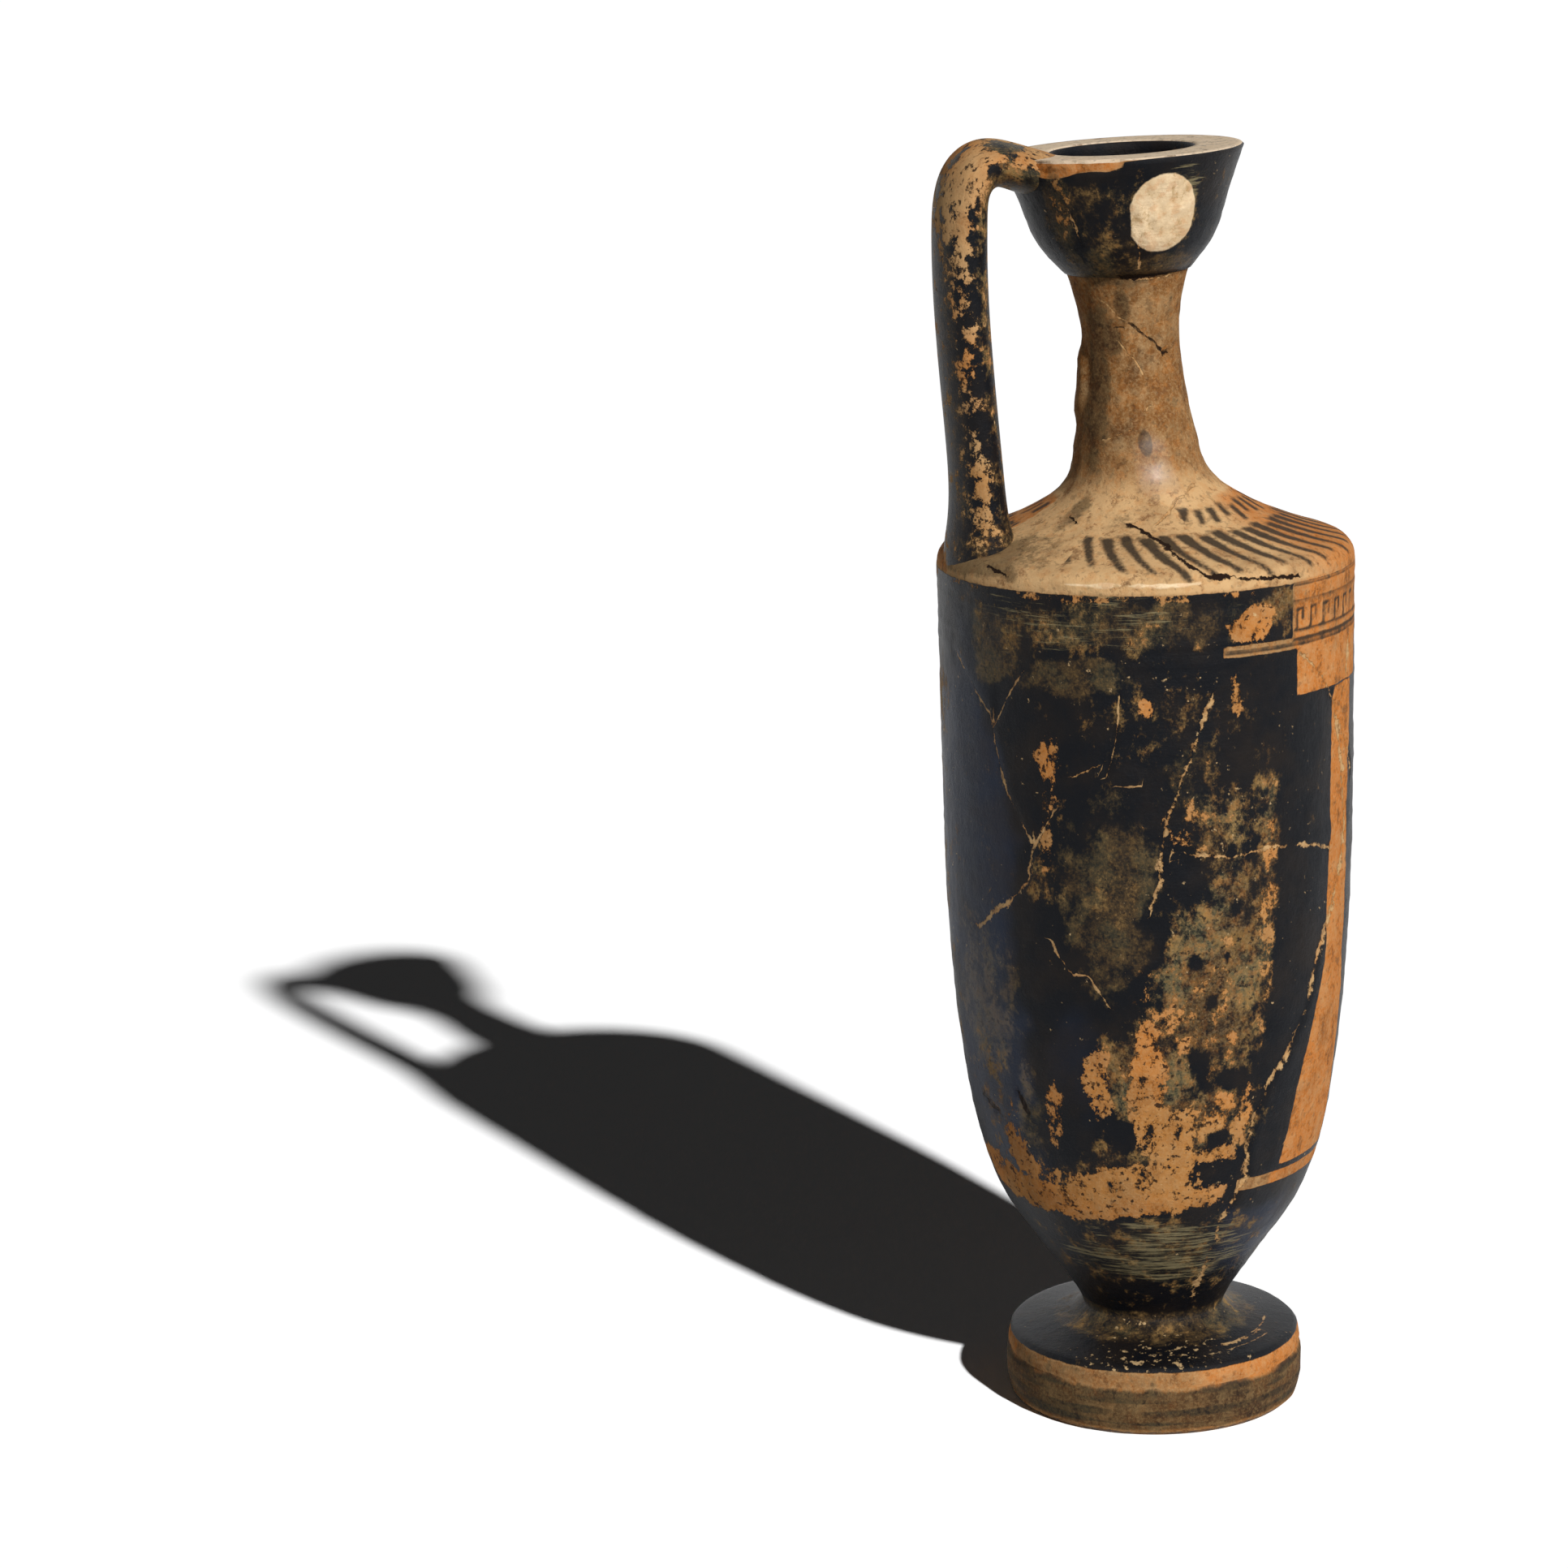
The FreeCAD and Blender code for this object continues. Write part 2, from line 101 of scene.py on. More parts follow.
# Heights in mm between which the clay is bare all round: the foot's side, and shoulder with neck.
BARE_FOOT = (0.0, 11.6)
BARE_TOP = (150.0, 199.6)

# The flat rim is bare above this height and outside this radius, in mm.
RIM_HEIGHT = 219.75
RIM_INNER = 12.3

# Single marks on the wall: turn in degrees, height, half width and half height in mm.
SCRAPED_DISC = (-88, 210.6, 6.0, 6.6)
NECK_SEAM = (163, 181, 4.0, 7.0)
NECK_HOLE = (-64, 186.2, 0.8, 0.8)

# Turns in degrees between which the mouth has its long chip under the rim.
CHIP_TURNS = (-166, -108)

# Height in mm of the line cut round the foot's side.
FOOT_GROOVE = 8.4

# Turned lines of the painted bands, as heights in mm.
BAND_LINES = (149.7, 146.8, 141.9, 140.5)

# Height in mm of the turned line in the strip.
STRIP_LINE = 139.7

# Dark turned lines on the foot's side, as heights in mm.
FOOT_LINES = (8.2, 6.6, 4.3, 2.4)

# The running meander: degrees from hook to hook, and the height in mm that it stands on.
MEANDER_STEP = 6.0
MEANDER_FOOT = 141.9

# The bare shaft at the front's -Y side: heights in mm, the turns of its edges there, and its two ends.
SHAFT_HEIGHTS = (47, 62, 83, 107, 130)
SHAFT_LEFT = (-63, -59, -50, -49, -48)
SHAFT_RIGHT = (-30, -31, -36, -37, -35)
SHAFT_ENDS = (47.6, 130.6)

# The bare block over the shaft: left and right turn in degrees, low and high edge in mm.
LINTEL = (-65, -28, 130.9, 138.9)

# Rows of tongues: degrees apart, low and high end in mm, slant, phase, first turn, and cut of the worn ones.
TONGUE_ROWS = ((8.0, 152.4, 157.7, 0.85, 2.0, -136, 1.7), (9.0, 158.7, 160.8, -0.8, 4.0, -90, 0.0))
LAST_TONGUE = 178

# Distances in mm that stand for far from any edge, and for no line near.
FAR = 9.0
NO_LINE = 99.0

# Breaks with pale filling or clean edges: how thin, then points as turn in degrees and height in mm.
PALE_BREAKS = (
    (1.3, (-174, 137), (-166, 133), (-157, 128), (-155, 122), (-152, 116), (-148, 112), (-143, 107)),
    (1.5, (-144, 137), (-150, 132), (-155, 127)),
    (0.8, (-143, 107), (-145, 100), (-152, 96), (-167, 90)),
    (1.8, (-135, 114), (-142, 107)),
    (1.5, (-138, 91), (-136, 88), (-132, 85), (-127, 85), (-121, 79)),
    (0.75, (-92, 133), (-95, 128), (-100, 120), (-104, 113), (-106, 107), (-107, 101), (-110, 96)),
    (0.9, (-104.4, 106.8), (-86, 105), (-74, 106), (-63, 105), (-49, 103)),
    (1.2, (-64, 138), (-54, 133), (-49, 129), (-46, 127)),
    (1.2, (-35, 139), (-38, 131), (-42, 128), (-46, 126)),
    (0.62, (-46, 126), (-42, 117), (-38, 105), (-42, 98), (-48, 91), (-54, 85), (-58, 76), (-66, 68),
     (-72, 64), (-77, 57), (-78, 52), (-77, 47), (-81, 42), (-84, 38), (-83, 32), (-82, 27), (-82, 21)),
    (1.4, (-46, 126), (-35, 117), (-32, 114)),
    (2.2, (-117, 134), (-118, 126), (-121, 119)),
    (1.7, (-121, 122), (-131, 119)),
    (2.4, (-119, 118), (-111, 118)),
    (1.1, (-63, 164), (-87, 162), (-104, 159)),
    (1.6, (-60, 162), (-57, 159)),
    (1.4, (-153, 197), (-135, 195), (-117, 192)),
    (1.9, (-126, 189), (-105, 185), (-94, 182)),
    (1.6, (-141, 172), (-112, 174), (-92, 178)),
    (1.4, (-102, 206), (-100, 201)),
    (1.2, (-146, 213.4), (-141, 210.8), (-138, 205.1)),
    (1.3, (-108, 199.3), (-80, 199.0), (-52, 199.4)),
    (1.5, (-80, 13.4), (-66, 13.35), (-52, 13.4), (-25, 13.4)),
    (1.7, (-74, 13.0), (-58, 13.05), (-44, 13.0)),
    (1.2, (35, 139), (41, 131), (47, 119), (44, 108), (41, 97), (49, 88), (58, 74), (63, 66), (68, 55),
     (70, 46)),
    (1.3, (131, 150), (128, 143), (121, 132), (119, 121), (123, 112), (131, 99), (134, 88), (129, 74),
     (126, 63), (118, 55), (116, 48)),
    (1.9, (131, 99), (143, 95), (156, 97), (163, 92)),
)

# Open breaks that look dark, given the same way.
DARK_BREAKS = (
    (0.95, (-117, 159.4), (-108, 158), (-102, 156.6), (-99, 155.2), (-96, 153.8), (-93, 152.5),
     (-86, 152.4)),
    (1.3, (-84, 151.8), (-64, 151)),
    (2.6, (-113, 192), (-89, 189), (-66, 186)),
    (2.4, (-117, 191), (-128, 191)),
    (0.36, (-66.5, 186.4), (-63.5, 185.8)),
    (1.6, (-153, 160), (-144, 159)),
    (1.0, (-174, 59), (-163, 56)),
    (1.2, (-154, 62), (-151, 58)),
    (0.9, (-117, 199.8), (-96, 199.6), (-73, 199.8), (-44, 200.0)),
    (1.7, (-160, 153.0), (-150, 152.0)),
)

# Soft patches on the wall: turn, height, half width in degrees, half height in mm, and how strong.
PATCHES = {
    "thin": (
        (-91, 86, 19, 23, 1.1), (-90, 112, 12, 12, 0.72), (-76, 100, 6, 36, 0.85),
        (-112, 66, 17, 16, 1.0), (-90, 58, 20, 10, 1.0), (-122, 100, 12, 12, 0.5),
        (-138, 102, 8, 9, 0.62), (-106, 128, 34, 10, 0.42), (-110, 35, 70, 8, 0.55),
        (-130, 144, 60, 8, 0.5), (-164, 60, 20, 14, 0.55), (-110, 28, 80, 10, 0.5),
        (60, 70, 30, 40, 0.7), (150, 90, 40, 50, 0.55), (-84, 210, 26, 8, 0.8),
        (-118, 208, 10, 8, 0.55), (140, 60, 24, 16, 0.8), (168, 128, 16, 12, 0.7),
        (20, 100, 14, 20, 0.5), (-73, 146, 8, 5, 1.0), (-112, 209, 60, 10, 0.42), (60, 208, 40, 8, 0.5),
        (-120, 49, 40, 6, 0.75),
    ),
    "lost": (
        (-112, 67, 8, 13, 0.95), (-107, 57, 15, 9, 0.95), (-126, 64, 7, 9, 0.9), (-88, 57, 16, 8, 0.78),
        (-141, 63, 6, 9, 0.8), (-158, 54, 8, 9, 0.8), (-115, 48, 34, 4, 1.0),
        (-135, 43.4, 64, 5.2, 1.3), (-137, 121, 5, 9, 0.78), (-138, 108, 3, 8, 0.62),
        (-80, 144, 9, 4, 1.2), (-75, 95, 5, 34, 0.6), (-96, 78, 22, 22, 0.5), (-98, 112, 16, 14, 0.5),
        (-86, 133, 3, 4, 0.72), (-110, 131, 2.5, 2.5, 0.8), (-146, 212, 9, 8, 0.68),
        (-160, 152.5, 16, 2.5, 0.75), (100, 60, 30, 12, 0.5), (-52, 50, 12, 5, 0.5),
        (148, 56, 9, 8, 0.72), (120, 118, 3, 6, 0.7), (172, 46, 40, 3.4, 0.9),
        (-106, 149.4, 70, 1.5, 0.56), (150, 149.4, 90, 1.4, 0.5), (-102, 51.5, 12, 4, 0.9),
        (-120, 145, 56, 6, 0.34), (-89, 51.7, 13, 2.4, 1.1), (-80, 60, 5, 7, 0.66),
        (-148, 48.5, 30, 3, 0.66),
    ),
    "kept": (
        (-89, 55.2, 4.5, 1.6, 1.1), (-88, 48.2, 6, 1.6, 1.3), (-107.5, 93.3, 3.6, 2.4, 1.3),
        (-97, 87.2, 2.4, 1.6, 1.2), (-96, 70, 2.4, 1.8, 1.3), (-86, 65.4, 2.6, 2.1, 1.3),
        (-118, 55, 4, 4, 0.5), (-66, 90, 5, 44, 0.8), (-142, 78, 9, 14, 0.8), (-110, 101, 3, 4, 0.6),
        (-85.5, 96, 1.8, 1.2, 1.2), (-88, 87.7, 1.4, 1.1, 1.2), (-92, 80, 1.8, 1.4, 1.2),
        (-100, 103, 8, 4, 0.7), (-150, 72, 12, 16, 0.6),
    ),
    # Crust patches on slip and clay; one of them is painted shade, as noted below.
    "dull_and_shade": (
        (-120, 98, 16, 22, 0.95), (-98, 118, 15, 12, 0.62), (-166, 76, 22, 20, 0.72),
        (-110, 145, 62, 6, 0.75), (-155, 140, 12, 7, 1.0), (-160, 44, 24, 5, 0.9),
        (-130, 136, 22, 4, 0.9), (-150, 62, 9, 12, 0.6), (-132, 190, 22, 5, 1.0),
        (-101, 171.6, 8, 2.6, 1.7), (-150, 172, 30, 8, 0.7), (-105, 201, 90, 3.2, 1.0),
        (-148, 211, 12, 9, 1.0), (-150, 161, 12, 4, 0.8), (-66, 178, 20, 10, 0.5),
        (-155, 156, 24, 3, 0.62), (-118, 159, 14, 3, 0.5), (-98, 157, 30, 3, 0.42),
        # (-152, 181) is painted shade down the neck's left side, where the light falls away; the others are
        # crust.
        (-152, 181, 22, 24, 1.0), (-118, 196, 12, 4, 0.9), (-162, 153.5, 22, 4, 1.0),
        (-110, 209, 80, 10, 0.55), (-128, 204, 20, 3, 0.8), (-142, 192, 14, 8, 0.7),
        (-60, 192, 10, 8, 0.5), (-126, 166, 16, 4, 0.5), (-84, 192, 14, 6, 0.4),
    ),
    "grime": (
        (-128, 145, 56, 8, 0.84), (-84, 146, 15, 4, 0.6), (-105, 134, 34, 6, 0.5),
        (-110, 31, 80, 10, 1.0), (-80, 211, 26, 9, 1.05),
    ),
    # Painted sheen: bluish grey reflections of the sky on the black slip, most of them on its left flank.
    "painted_sheen": (
        (-172, 106, 26, 44, 0.9), (-168, 66, 26, 26, 0.9), (-62, 34, 34, 10, 0.6),
        (-130, 70, 16, 20, 0.4),
    ),
    "limed": (
        (-106, 12.9, 46, 2.0, 0.12), (-110, 15, 40, 5, 0.05), (-92, 108, 22, 22, 0.04),
        (-120, 140, 40, 14, 0.03),
    ),
    "polish": ((-94, 167, 22, 8, 1.2),),
}

# The named values that every point of the vase carries for the material.
FIELDS = (
    "slip", "wash", "orange", "pale", "thin", "lost", "dull_and_shade", "grime", "painted_sheen", "limed", "polish", "filled",
    "open", "filled_near", "open_near", "fresh_and_highlight", "rim", "umber",
)

CLAY_NAME = "wheel_thrown_slip_painted_terracotta"

# The photograph's camera: its place in metres, the way it looks, and its roll in degrees.
CAMERA_PLACE = (-0.25344, -0.69631, 0.2808)
CAMERA_AHEAD = (0.25446, 0.94112, -0.22257)
CAMERA_ROLL = -1.76


def linear(code):
    """Gives the linear colour, with full cover, of an sRGB hex code."""
    parts = [int(code[at:at + 2], 16) / 255 for at in (0, 2, 4)]
    return tuple(p / 12.92 if p <= 0.04045 else ((p + 0.055) / 1.055) ** 2.4 for p in parts) + (1.0,)


def colour_property(label, code, use):
    """A colour for the sidebar, from its sRGB hex code."""
    return FloatVectorProperty(
        name=label, description=use, default=linear(code), subtype="COLOR", size=4, min=0, max=1,
    )


def length_property(label, size, use):
    """A length for the sidebar, from its size in mm."""
    return FloatProperty(name=label, description=use, default=size * MM, subtype="DISTANCE", precision=5)


def angle_property(label, degrees, use):
    """An angle for the sidebar, from its degrees."""
    return FloatProperty(name=label, description=use, default=math.radians(degrees), subtype="ANGLE")


def ramp(value, start, end):
    """Eases from zero at start to one at end."""
    t = np.clip((value - start) / (end - start), 0, 1)
    return t * t * (3 - 2 * t)


def curve(poles, count):
    """Points along the clamped smooth curve of these poles."""
    poles = np.array(poles, float)
    degree = min(3, len(poles) - 1)
    knots = np.concatenate([np.zeros(degree), np.linspace(0, 1, len(poles) - degree + 1), np.ones(degree)])
    t = np.linspace(0, 1 - 1e-9, count)[:, None]
    weights = ((knots[:-1] <= t) & (t < knots[1:])).astype(float)
    for k in range(1, degree + 1):
        rise = knots[k:-1] - knots[:-k - 1]
        fall = knots[k + 1:] - knots[1:-k]
        left = np.divide(t - knots[:-k - 1], rise, out=np.zeros((count, len(rise))), where=rise > 0)
        right = np.divide(knots[k + 1:] - t, fall, out=np.zeros((count, len(fall))), where=fall > 0)
        weights = left * weights[:, :-1] + right * weights[:, 1:]
    return weights @ poles


def paced(points, pace):
    """Points along the same line at even steps of about the given pace, with the line's own ends."""
    points = np.array(points, float)
    length = np.concatenate([[0], np.cumsum(np.linalg.norm(np.diff(points, axis=0), axis=1))])
    even = np.linspace(0, length[-1], max(2, round(length[-1] / pace) + 1))
    return np.column_stack([np.interp(even, length, column) for column in points.T])


def outline(sizes):
    """The whole outline, from the axis under the foot up the outside and down the inside to the axis."""
    coarse, fine, even = (step / MM for step in (sizes.coarse_step, sizes.fine_step, sizes.outside_step))
    body = curve(BODY, 600)
    band = body[:, 1] > FINE_FROM
    runs = [
        np.array(UNDER_FOOT),
        paced(curve(FOOT_SIDE, 80), 0.8),
        paced(FOOT_TOP, even),
        paced(body[~band], even),
        paced(body[band], fine),
        paced(curve(SHOULDER_EDGE, 60), 0.6),
        paced(curve(SLOPE, 300), 0.8),
        paced(curve(NECK, 200), even),
        paced(curve(MOUTH, 200), 0.9),
        paced(RIM, 0.8),
        paced(curve(FUNNEL, 100), even),
        paced(BORE, coarse),
        paced(curve(INSIDE, 300), coarse),
    ]
    rows = np.concatenate(runs)
    apart = np.linalg.norm(np.diff(rows, axis=0), axis=1) > 0.05
    return rows[np.concatenate([[True], apart])]


def lean(points, whole):
    """Leans what stands above the shoulder towards the handle by an angle, as the neck was set on."""
    angle = whole * ramp(points[:, 2], *LEAN_HEIGHTS)
    x, z = points[:, 0].copy(), points[:, 2] - LEAN_CENTRE
    points[:, 0] = x * np.cos(angle) - z * np.sin(angle)
    points[:, 2] = LEAN_CENTRE + x * np.sin(angle) + z * np.cos(angle)


def rough(points, size, seed):
    """Soft noise between about -1 and 1 whose lumps are the given size in mm."""
    shift = Vector((seed * 17.3, seed * 5.1, seed * 9.7))
    return np.array([noise.noise(Vector(p) / size + shift) for p in points])


class Wall:
    """Where each point lies on the upright wall: turn in degrees, height and way up the outline in mm."""

    def __init__(self, points, outer):
        self.points = points
        self.turn = np.degrees(np.arctan2(points[:, 1], points[:, 0]))
        self.radius = np.hypot(points[:, 0], points[:, 1])
        self.height = points[:, 2]
        self.outer = outer
        self.ways = np.concatenate([[0], np.cumsum(np.linalg.norm(np.diff(outer, axis=0), axis=1))])
        self.along = self.way(self.height)
        self.degree = np.interp(self.height, outer[:, 1], outer[:, 0]) * math.radians(1)
        self.sway = 4.0 * rough(points, 9.0, 11) + 2.0 * rough(points, 3.5, 12)
        self.sway *= np.minimum(self.radius / 30, 1)
        self.swell = 5.0 * rough(points, 11.0, 13) + 2.5 * rough(points, 4.0, 14)

    def way(self, height):
        """Way along the outside at a height."""
        return np.interp(height, self.outer[:, 1], self.ways)

    def past(self, turn):
        """Distance in mm round the wall past a turn, negative before it."""
        return ((self.turn - turn + 180) % 360 - 180) * self.degree

    def over(self, height):
        """Distance in mm along the wall over a height, negative under it."""
        return self.along - self.way(height)

    def frame(self, left, right, low, high):
        """Distance in mm inside an upright frame on the wall, negative outside it."""
        return np.minimum.reduce([self.past(left), -self.past(right), self.over(low), -self.over(high)])

    def ring(self, low, high):
        """Distance in mm inside a band right round the wall."""
        return np.minimum(self.over(low), -self.over(high))

    def spot(self, turn, height, half_width, half_height):
        """How far out each point lies in a round mark, where one is the mark's edge."""
        return np.hypot(self.past(turn) / half_width, (self.height - height) / half_height)

    def line(self, points):
        """Distance in mm to one side or the other of a broken line through turns and heights."""
        nearest = np.full(len(self.turn), NO_LINE)
        for (turn, height), (next_turn, next_height) in zip(points, points[1:]):
            across, up = self.past(turn), self.over(height)
            run = (next_turn - turn) * self.degree
            rise = self.way(next_height) - self.way(height)
            length = np.hypot(run, rise)
            part = (across * run + up * rise) / length ** 2
            held = np.clip(part, 0, 1)
            gap = np.hypot(across - held * run, up - held * rise) + 3 * np.abs(part - held) * length
            side = np.where(run * up - rise * across >= 0, 1, -1)
            nearest = np.where(gap < np.abs(nearest), side * gap, nearest)
        return nearest

    def nearest_line(self, lines):
        """Distance to whichever of several lines is nearest, stretched by how thin that line is."""
        nearest = np.full(len(self.turn), NO_LINE)
        for thinness, *points in lines:
            distance = self.line(points) * thinness
            nearest = np.where(np.abs(distance) < np.abs(nearest), distance, nearest)
        return nearest

    def patches(self, table):
        """Soft patches on the wall, the strongest where they overlap."""
        total = np.zeros(len(self.turn))
        for turn, height, half_turn, half_height, strength in table:
            half_width = half_turn * self.degree
            across = (self.past(turn) + self.sway * np.minimum(half_width / 10, 1)) / half_width
            up = (self.height - height + self.swell * min(half_height / 10, 1)) / half_height
            total = np.maximum(total, strength * (1 - ramp(np.hypot(across, up), 0.3, 1.25)))
        return total


def painted(wall):
    """Distance in mm inside the black slip, negative on bare clay."""
    slip = np.minimum(6.0, -wall.ring(*BARE_TOP))
    slip = np.minimum(slip, -np.maximum(wall.frame(*BAND), wall.frame(*STRIP)))
    for side in (-1, 1):
        slip = np.minimum(slip, -column(wall, side))
    slip = np.minimum(slip, -wall.frame(*GROUND_LINE))
    slip = np.minimum(slip, -wall.ring(*BARE_FOOT))
    inner = wall.radius < np.interp(wall.height, wall.outer[:, 1], wall.outer[:, 0]) - 0.6
    slip = np.where(inner & (wall.height > 190), 4.0, slip)
    return np.where(on_rim(wall), -4.0, np.minimum(slip, -chipped(wall)))


def on_rim(wall):
    """Whether each point lies on the flat top of the rim."""
    return (wall.height > RIM_HEIGHT) & (wall.radius > RIM_INNER)


def drawn(wall):
    """Distance in mm inside the brush lines: turned lines, meander and the strokes on the shoulder."""
    band = wall.frame(*BAND)
    lines = np.minimum(band, meander(wall))
    for height in BAND_LINES:
        lines = np.maximum(lines, np.minimum(band, 0.34 - np.abs(wall.over(height))))
    lines = np.maximum(lines, np.minimum(wall.frame(*STRIP), 0.4 - np.abs(wall.over(STRIP_LINE))))
    for height in FOOT_LINES:
        ring = 0.45 - np.abs(wall.over(height)) + 0.6 * rough(wall.points, 8.0, height)
        lines = np.maximum(lines, np.where(wall.radius > 24, ring, -FAR))
    return np.maximum(2.5 * lines, tongues(wall))


def chipped(wall):
    """Distance in mm inside the long chip under the rim, with a wavy lower edge."""
    left, right = CHIP_TURNS
    low = 217.4 + 1.2 * ramp(wall.turn, -150, -112)
    chip = np.minimum.reduce([wall.past(left), -wall.past(right), wall.over(low)])
    return np.where(wall.radius > 15, chip + 0.9 * rough(wall.points, 3.5, 7), -FAR)


def meander(wall):
    """Hooks of the running meander: a post, a bar to the right and a short drop."""
    step = ((wall.turn + 0.5) % MEANDER_STEP) * wall.degree
    up = wall.over(MEANDER_FOOT)
    post = np.minimum(0.42 - np.abs(step - wall.degree), np.minimum(up, 4.1 - up))
    across = np.minimum(step - 0.6 * wall.degree, 3.9 * wall.degree - step)
    bar = np.minimum(0.4 - np.abs(up - 3.7), across)
    drop = np.minimum(0.42 - np.abs(step - 3.5 * wall.degree), np.minimum(up - 1.5, 4.0 - up))
    return np.maximum(np.maximum(post, bar), drop)


def column(wall, side):
    """The reserved lintel block and the shaft under it, on one side of the front."""
    turn = wall.turn * -side
    left, right = (np.interp(wall.height, SHAFT_HEIGHTS, edge) for edge in (SHAFT_LEFT, SHAFT_RIGHT))
    within = np.minimum(turn - left, right - turn) * wall.degree
    shaft = np.minimum(within, wall.ring(*SHAFT_ENDS))
    left, right, low, high = LINTEL
    within = np.minimum(turn - left, right - turn) * wall.degree
    return np.maximum(shaft, np.minimum(within, wall.ring(low, high)))


def tongues(wall):
    """Two rows of brush strokes on the shoulder: long slanted strokes, and short drops by the neck."""
    strokes = np.full(len(wall.turn), -FAR)
    for apart, low, high, slant, phase, first, cut in TONGUE_ROWS:
        low = low + cut * ramp(-wall.turn, 103, 122)
        shifted = wall.turn - phase + slant * wall.over(high)
        offset = ((shifted + apart / 2) % apart - apart / 2) * wall.degree
        number = np.floor((shifted + apart / 2) / apart)
        ragged = 0.9 * np.sin(number * 2.4)
        wide = 0.82 + 0.16 * np.sin(number * 3.1) + 0.05 * wall.over(low)
        stroke = np.minimum.reduce([
            wide - np.abs(offset), wall.over(low) - ragged, -wall.over(high) + 0.6 * ragged,
        ])
        kept = (wall.turn > first) & (wall.turn < LAST_TONGUE)
        strokes = np.maximum(strokes, np.where(kept, stroke, -FAR))
    return strokes


def body_fields(wall):
    """The named values that the material reads at each point of the vase."""
    fields = {name: wall.patches(table) for name, table in PATCHES.items()}
    high, turn = wall.height, wall.turn
    foot = ramp(wall.ring(0.5, 8.6), -0.5, 1)
    chip = chipped(wall)
    # The least value that some fields have all over a part of the vase.
    least = {
        "thin": (0.14, 0.4 * ramp(wall.radius, 20, 15) * (high < 18)),
        "dull_and_shade": (
            0.95 * foot, 0.5 * ramp(wall.ring(8.6, 11.8), -0.5, 0.5) * ramp(-turn, 85, 110),
            0.85 * ramp(wall.radius, 21, 15) * (high < 18),
        ),
        "grime": (0.6 * foot, 0.6 * ramp(wall.ring(148.4, 150.4), -0.5, 0.5)),
    }
    for name, values in least.items():
        for value in values:
            fields[name] = np.maximum(fields[name], value)
    for name in ("thin", "lost"):
        fields[name] = np.maximum(fields[name] - fields["kept"], 0)
    front = ramp(wall.frame(-66, 92, 40, 150.2), -1, 1)
    slope = 0.75 * ramp(turn, -80, -40) * ramp(wall.ring(150, 162), -1, 1)
    edge = 0.7 * ramp(wall.ring(8, 12.2), -0.5, 0.5) * ramp(turn, -104, -84)
    fields["orange"] = np.maximum.reduce([front, slope, edge, ramp(chip, -0.5, 0.5)])
    disc = np.minimum((1 - wall.spot(*SCRAPED_DISC)) * 6, wall.past(-106.5))
    fields["fresh_and_highlight"] = np.where(wall.radius > 13, disc, -FAR)
    # Painted highlight along the shoulder's rounded front edge, over its crumbly scrape.
    scrape_and_highlight = wall.frame(*EDGE_HIGHLIGHT_AND_SCRAPE) + 0.45 * rough(wall.points, 2.6, 21)
    fields["fresh_and_highlight"] = np.maximum(fields["fresh_and_highlight"], scrape_and_highlight)
    fields["pale"] = ramp(high, 181, 163) * ramp(high, 149, 151)
    fields["umber"] = np.maximum(ramp(high, 158, 172) * ramp(high, 201.5, 199.5), foot)
    fields["rim"] = np.where(on_rim(wall), 1.0, 0.0)
    fields["slip"] = painted(wall)
    fields["wash"] = drawn(wall)
    fields["filled"] = wall.nearest_line(PALE_BREAKS)
    fields["open"] = wall.nearest_line(DARK_BREAKS)
    for name in ("filled", "open"):
        fields[name + "_near"] = ramp(np.abs(fields[name]), 1.8, 1.1)
    return fields


def handle_fields(points, across):
    """The named values that the material reads on the handle: slip all over, worn along its outer side."""
    count, height = len(points), points[:, 2]
    fields = {name: np.zeros(count) for name in FIELDS}
    fields |= {name: np.full(count, FAR) for name in ("slip", "filled", "open")}
    fields |= {name: np.full(count, -FAR) for name in ("wash", "fresh_and_highlight")}
    spine = np.exp(-((across + 1.6) / 1.5) ** 2) * (0.8 + 0.9 * rough(points, 11.0, 31))
    bend = ramp(height, 203, 213)
    joint = ramp(-points[:, 0], 25, 20)
    smudge = np.exp(-((points[:, 0] + 25.5) / 3.0) ** 2) * ramp(-points[:, 1], 1, 4) * bend
    fields["thin"] = 0.38 + 0.2 * spine + 0.2 * bend + 0.26 * ramp(across, -0.5, 2.0)
    fields["lost"] = 0.38 + 0.42 * spine * ramp(height, 154, 162) + 0.38 * bend * ramp(-across, -3.0, 1.5)
    fields["lost"] -= 0.5 * smudge
    fields["lost"] += 0.3 * rough(points, 5.0, 33) * bend
    fields["lost"] = np.maximum(fields["lost"], 0.62 * ramp(height, 158, 151))
    for name in ("thin", "lost"):
        fields[name] -= 0.6 * joint * ramp(height, 218, 214)
    fields["dull_and_shade"] = 0.25 + 0.35 * ramp(np.abs(across), 1.5, 3.5) + 0.3 * bend + 0.5 * joint
    fields["grime"] = 0.3 + 0.35 * ramp(across, -1.0, 2.0)
    fields["pale"] = 0.62 + 0.6 * rough(points, 7.0, 35)
    return fields


def store(mesh, fields):
    """Stores each named value on the mesh's points."""
    for name in FIELDS:
        layer = mesh.attributes.new(name, "FLOAT", "POINT")
        layer.data.foreach_set("value", np.ascontiguousarray(fields[name], dtype=np.float32))


def mesh_points(mesh):
    """The mesh's points as rows of x, y, z."""
    flat = np.empty(len(mesh.vertices) * 3, dtype=np.float32)
    mesh.vertices.foreach_get("co", flat)
    return flat.reshape(-1, 3).astype(float)


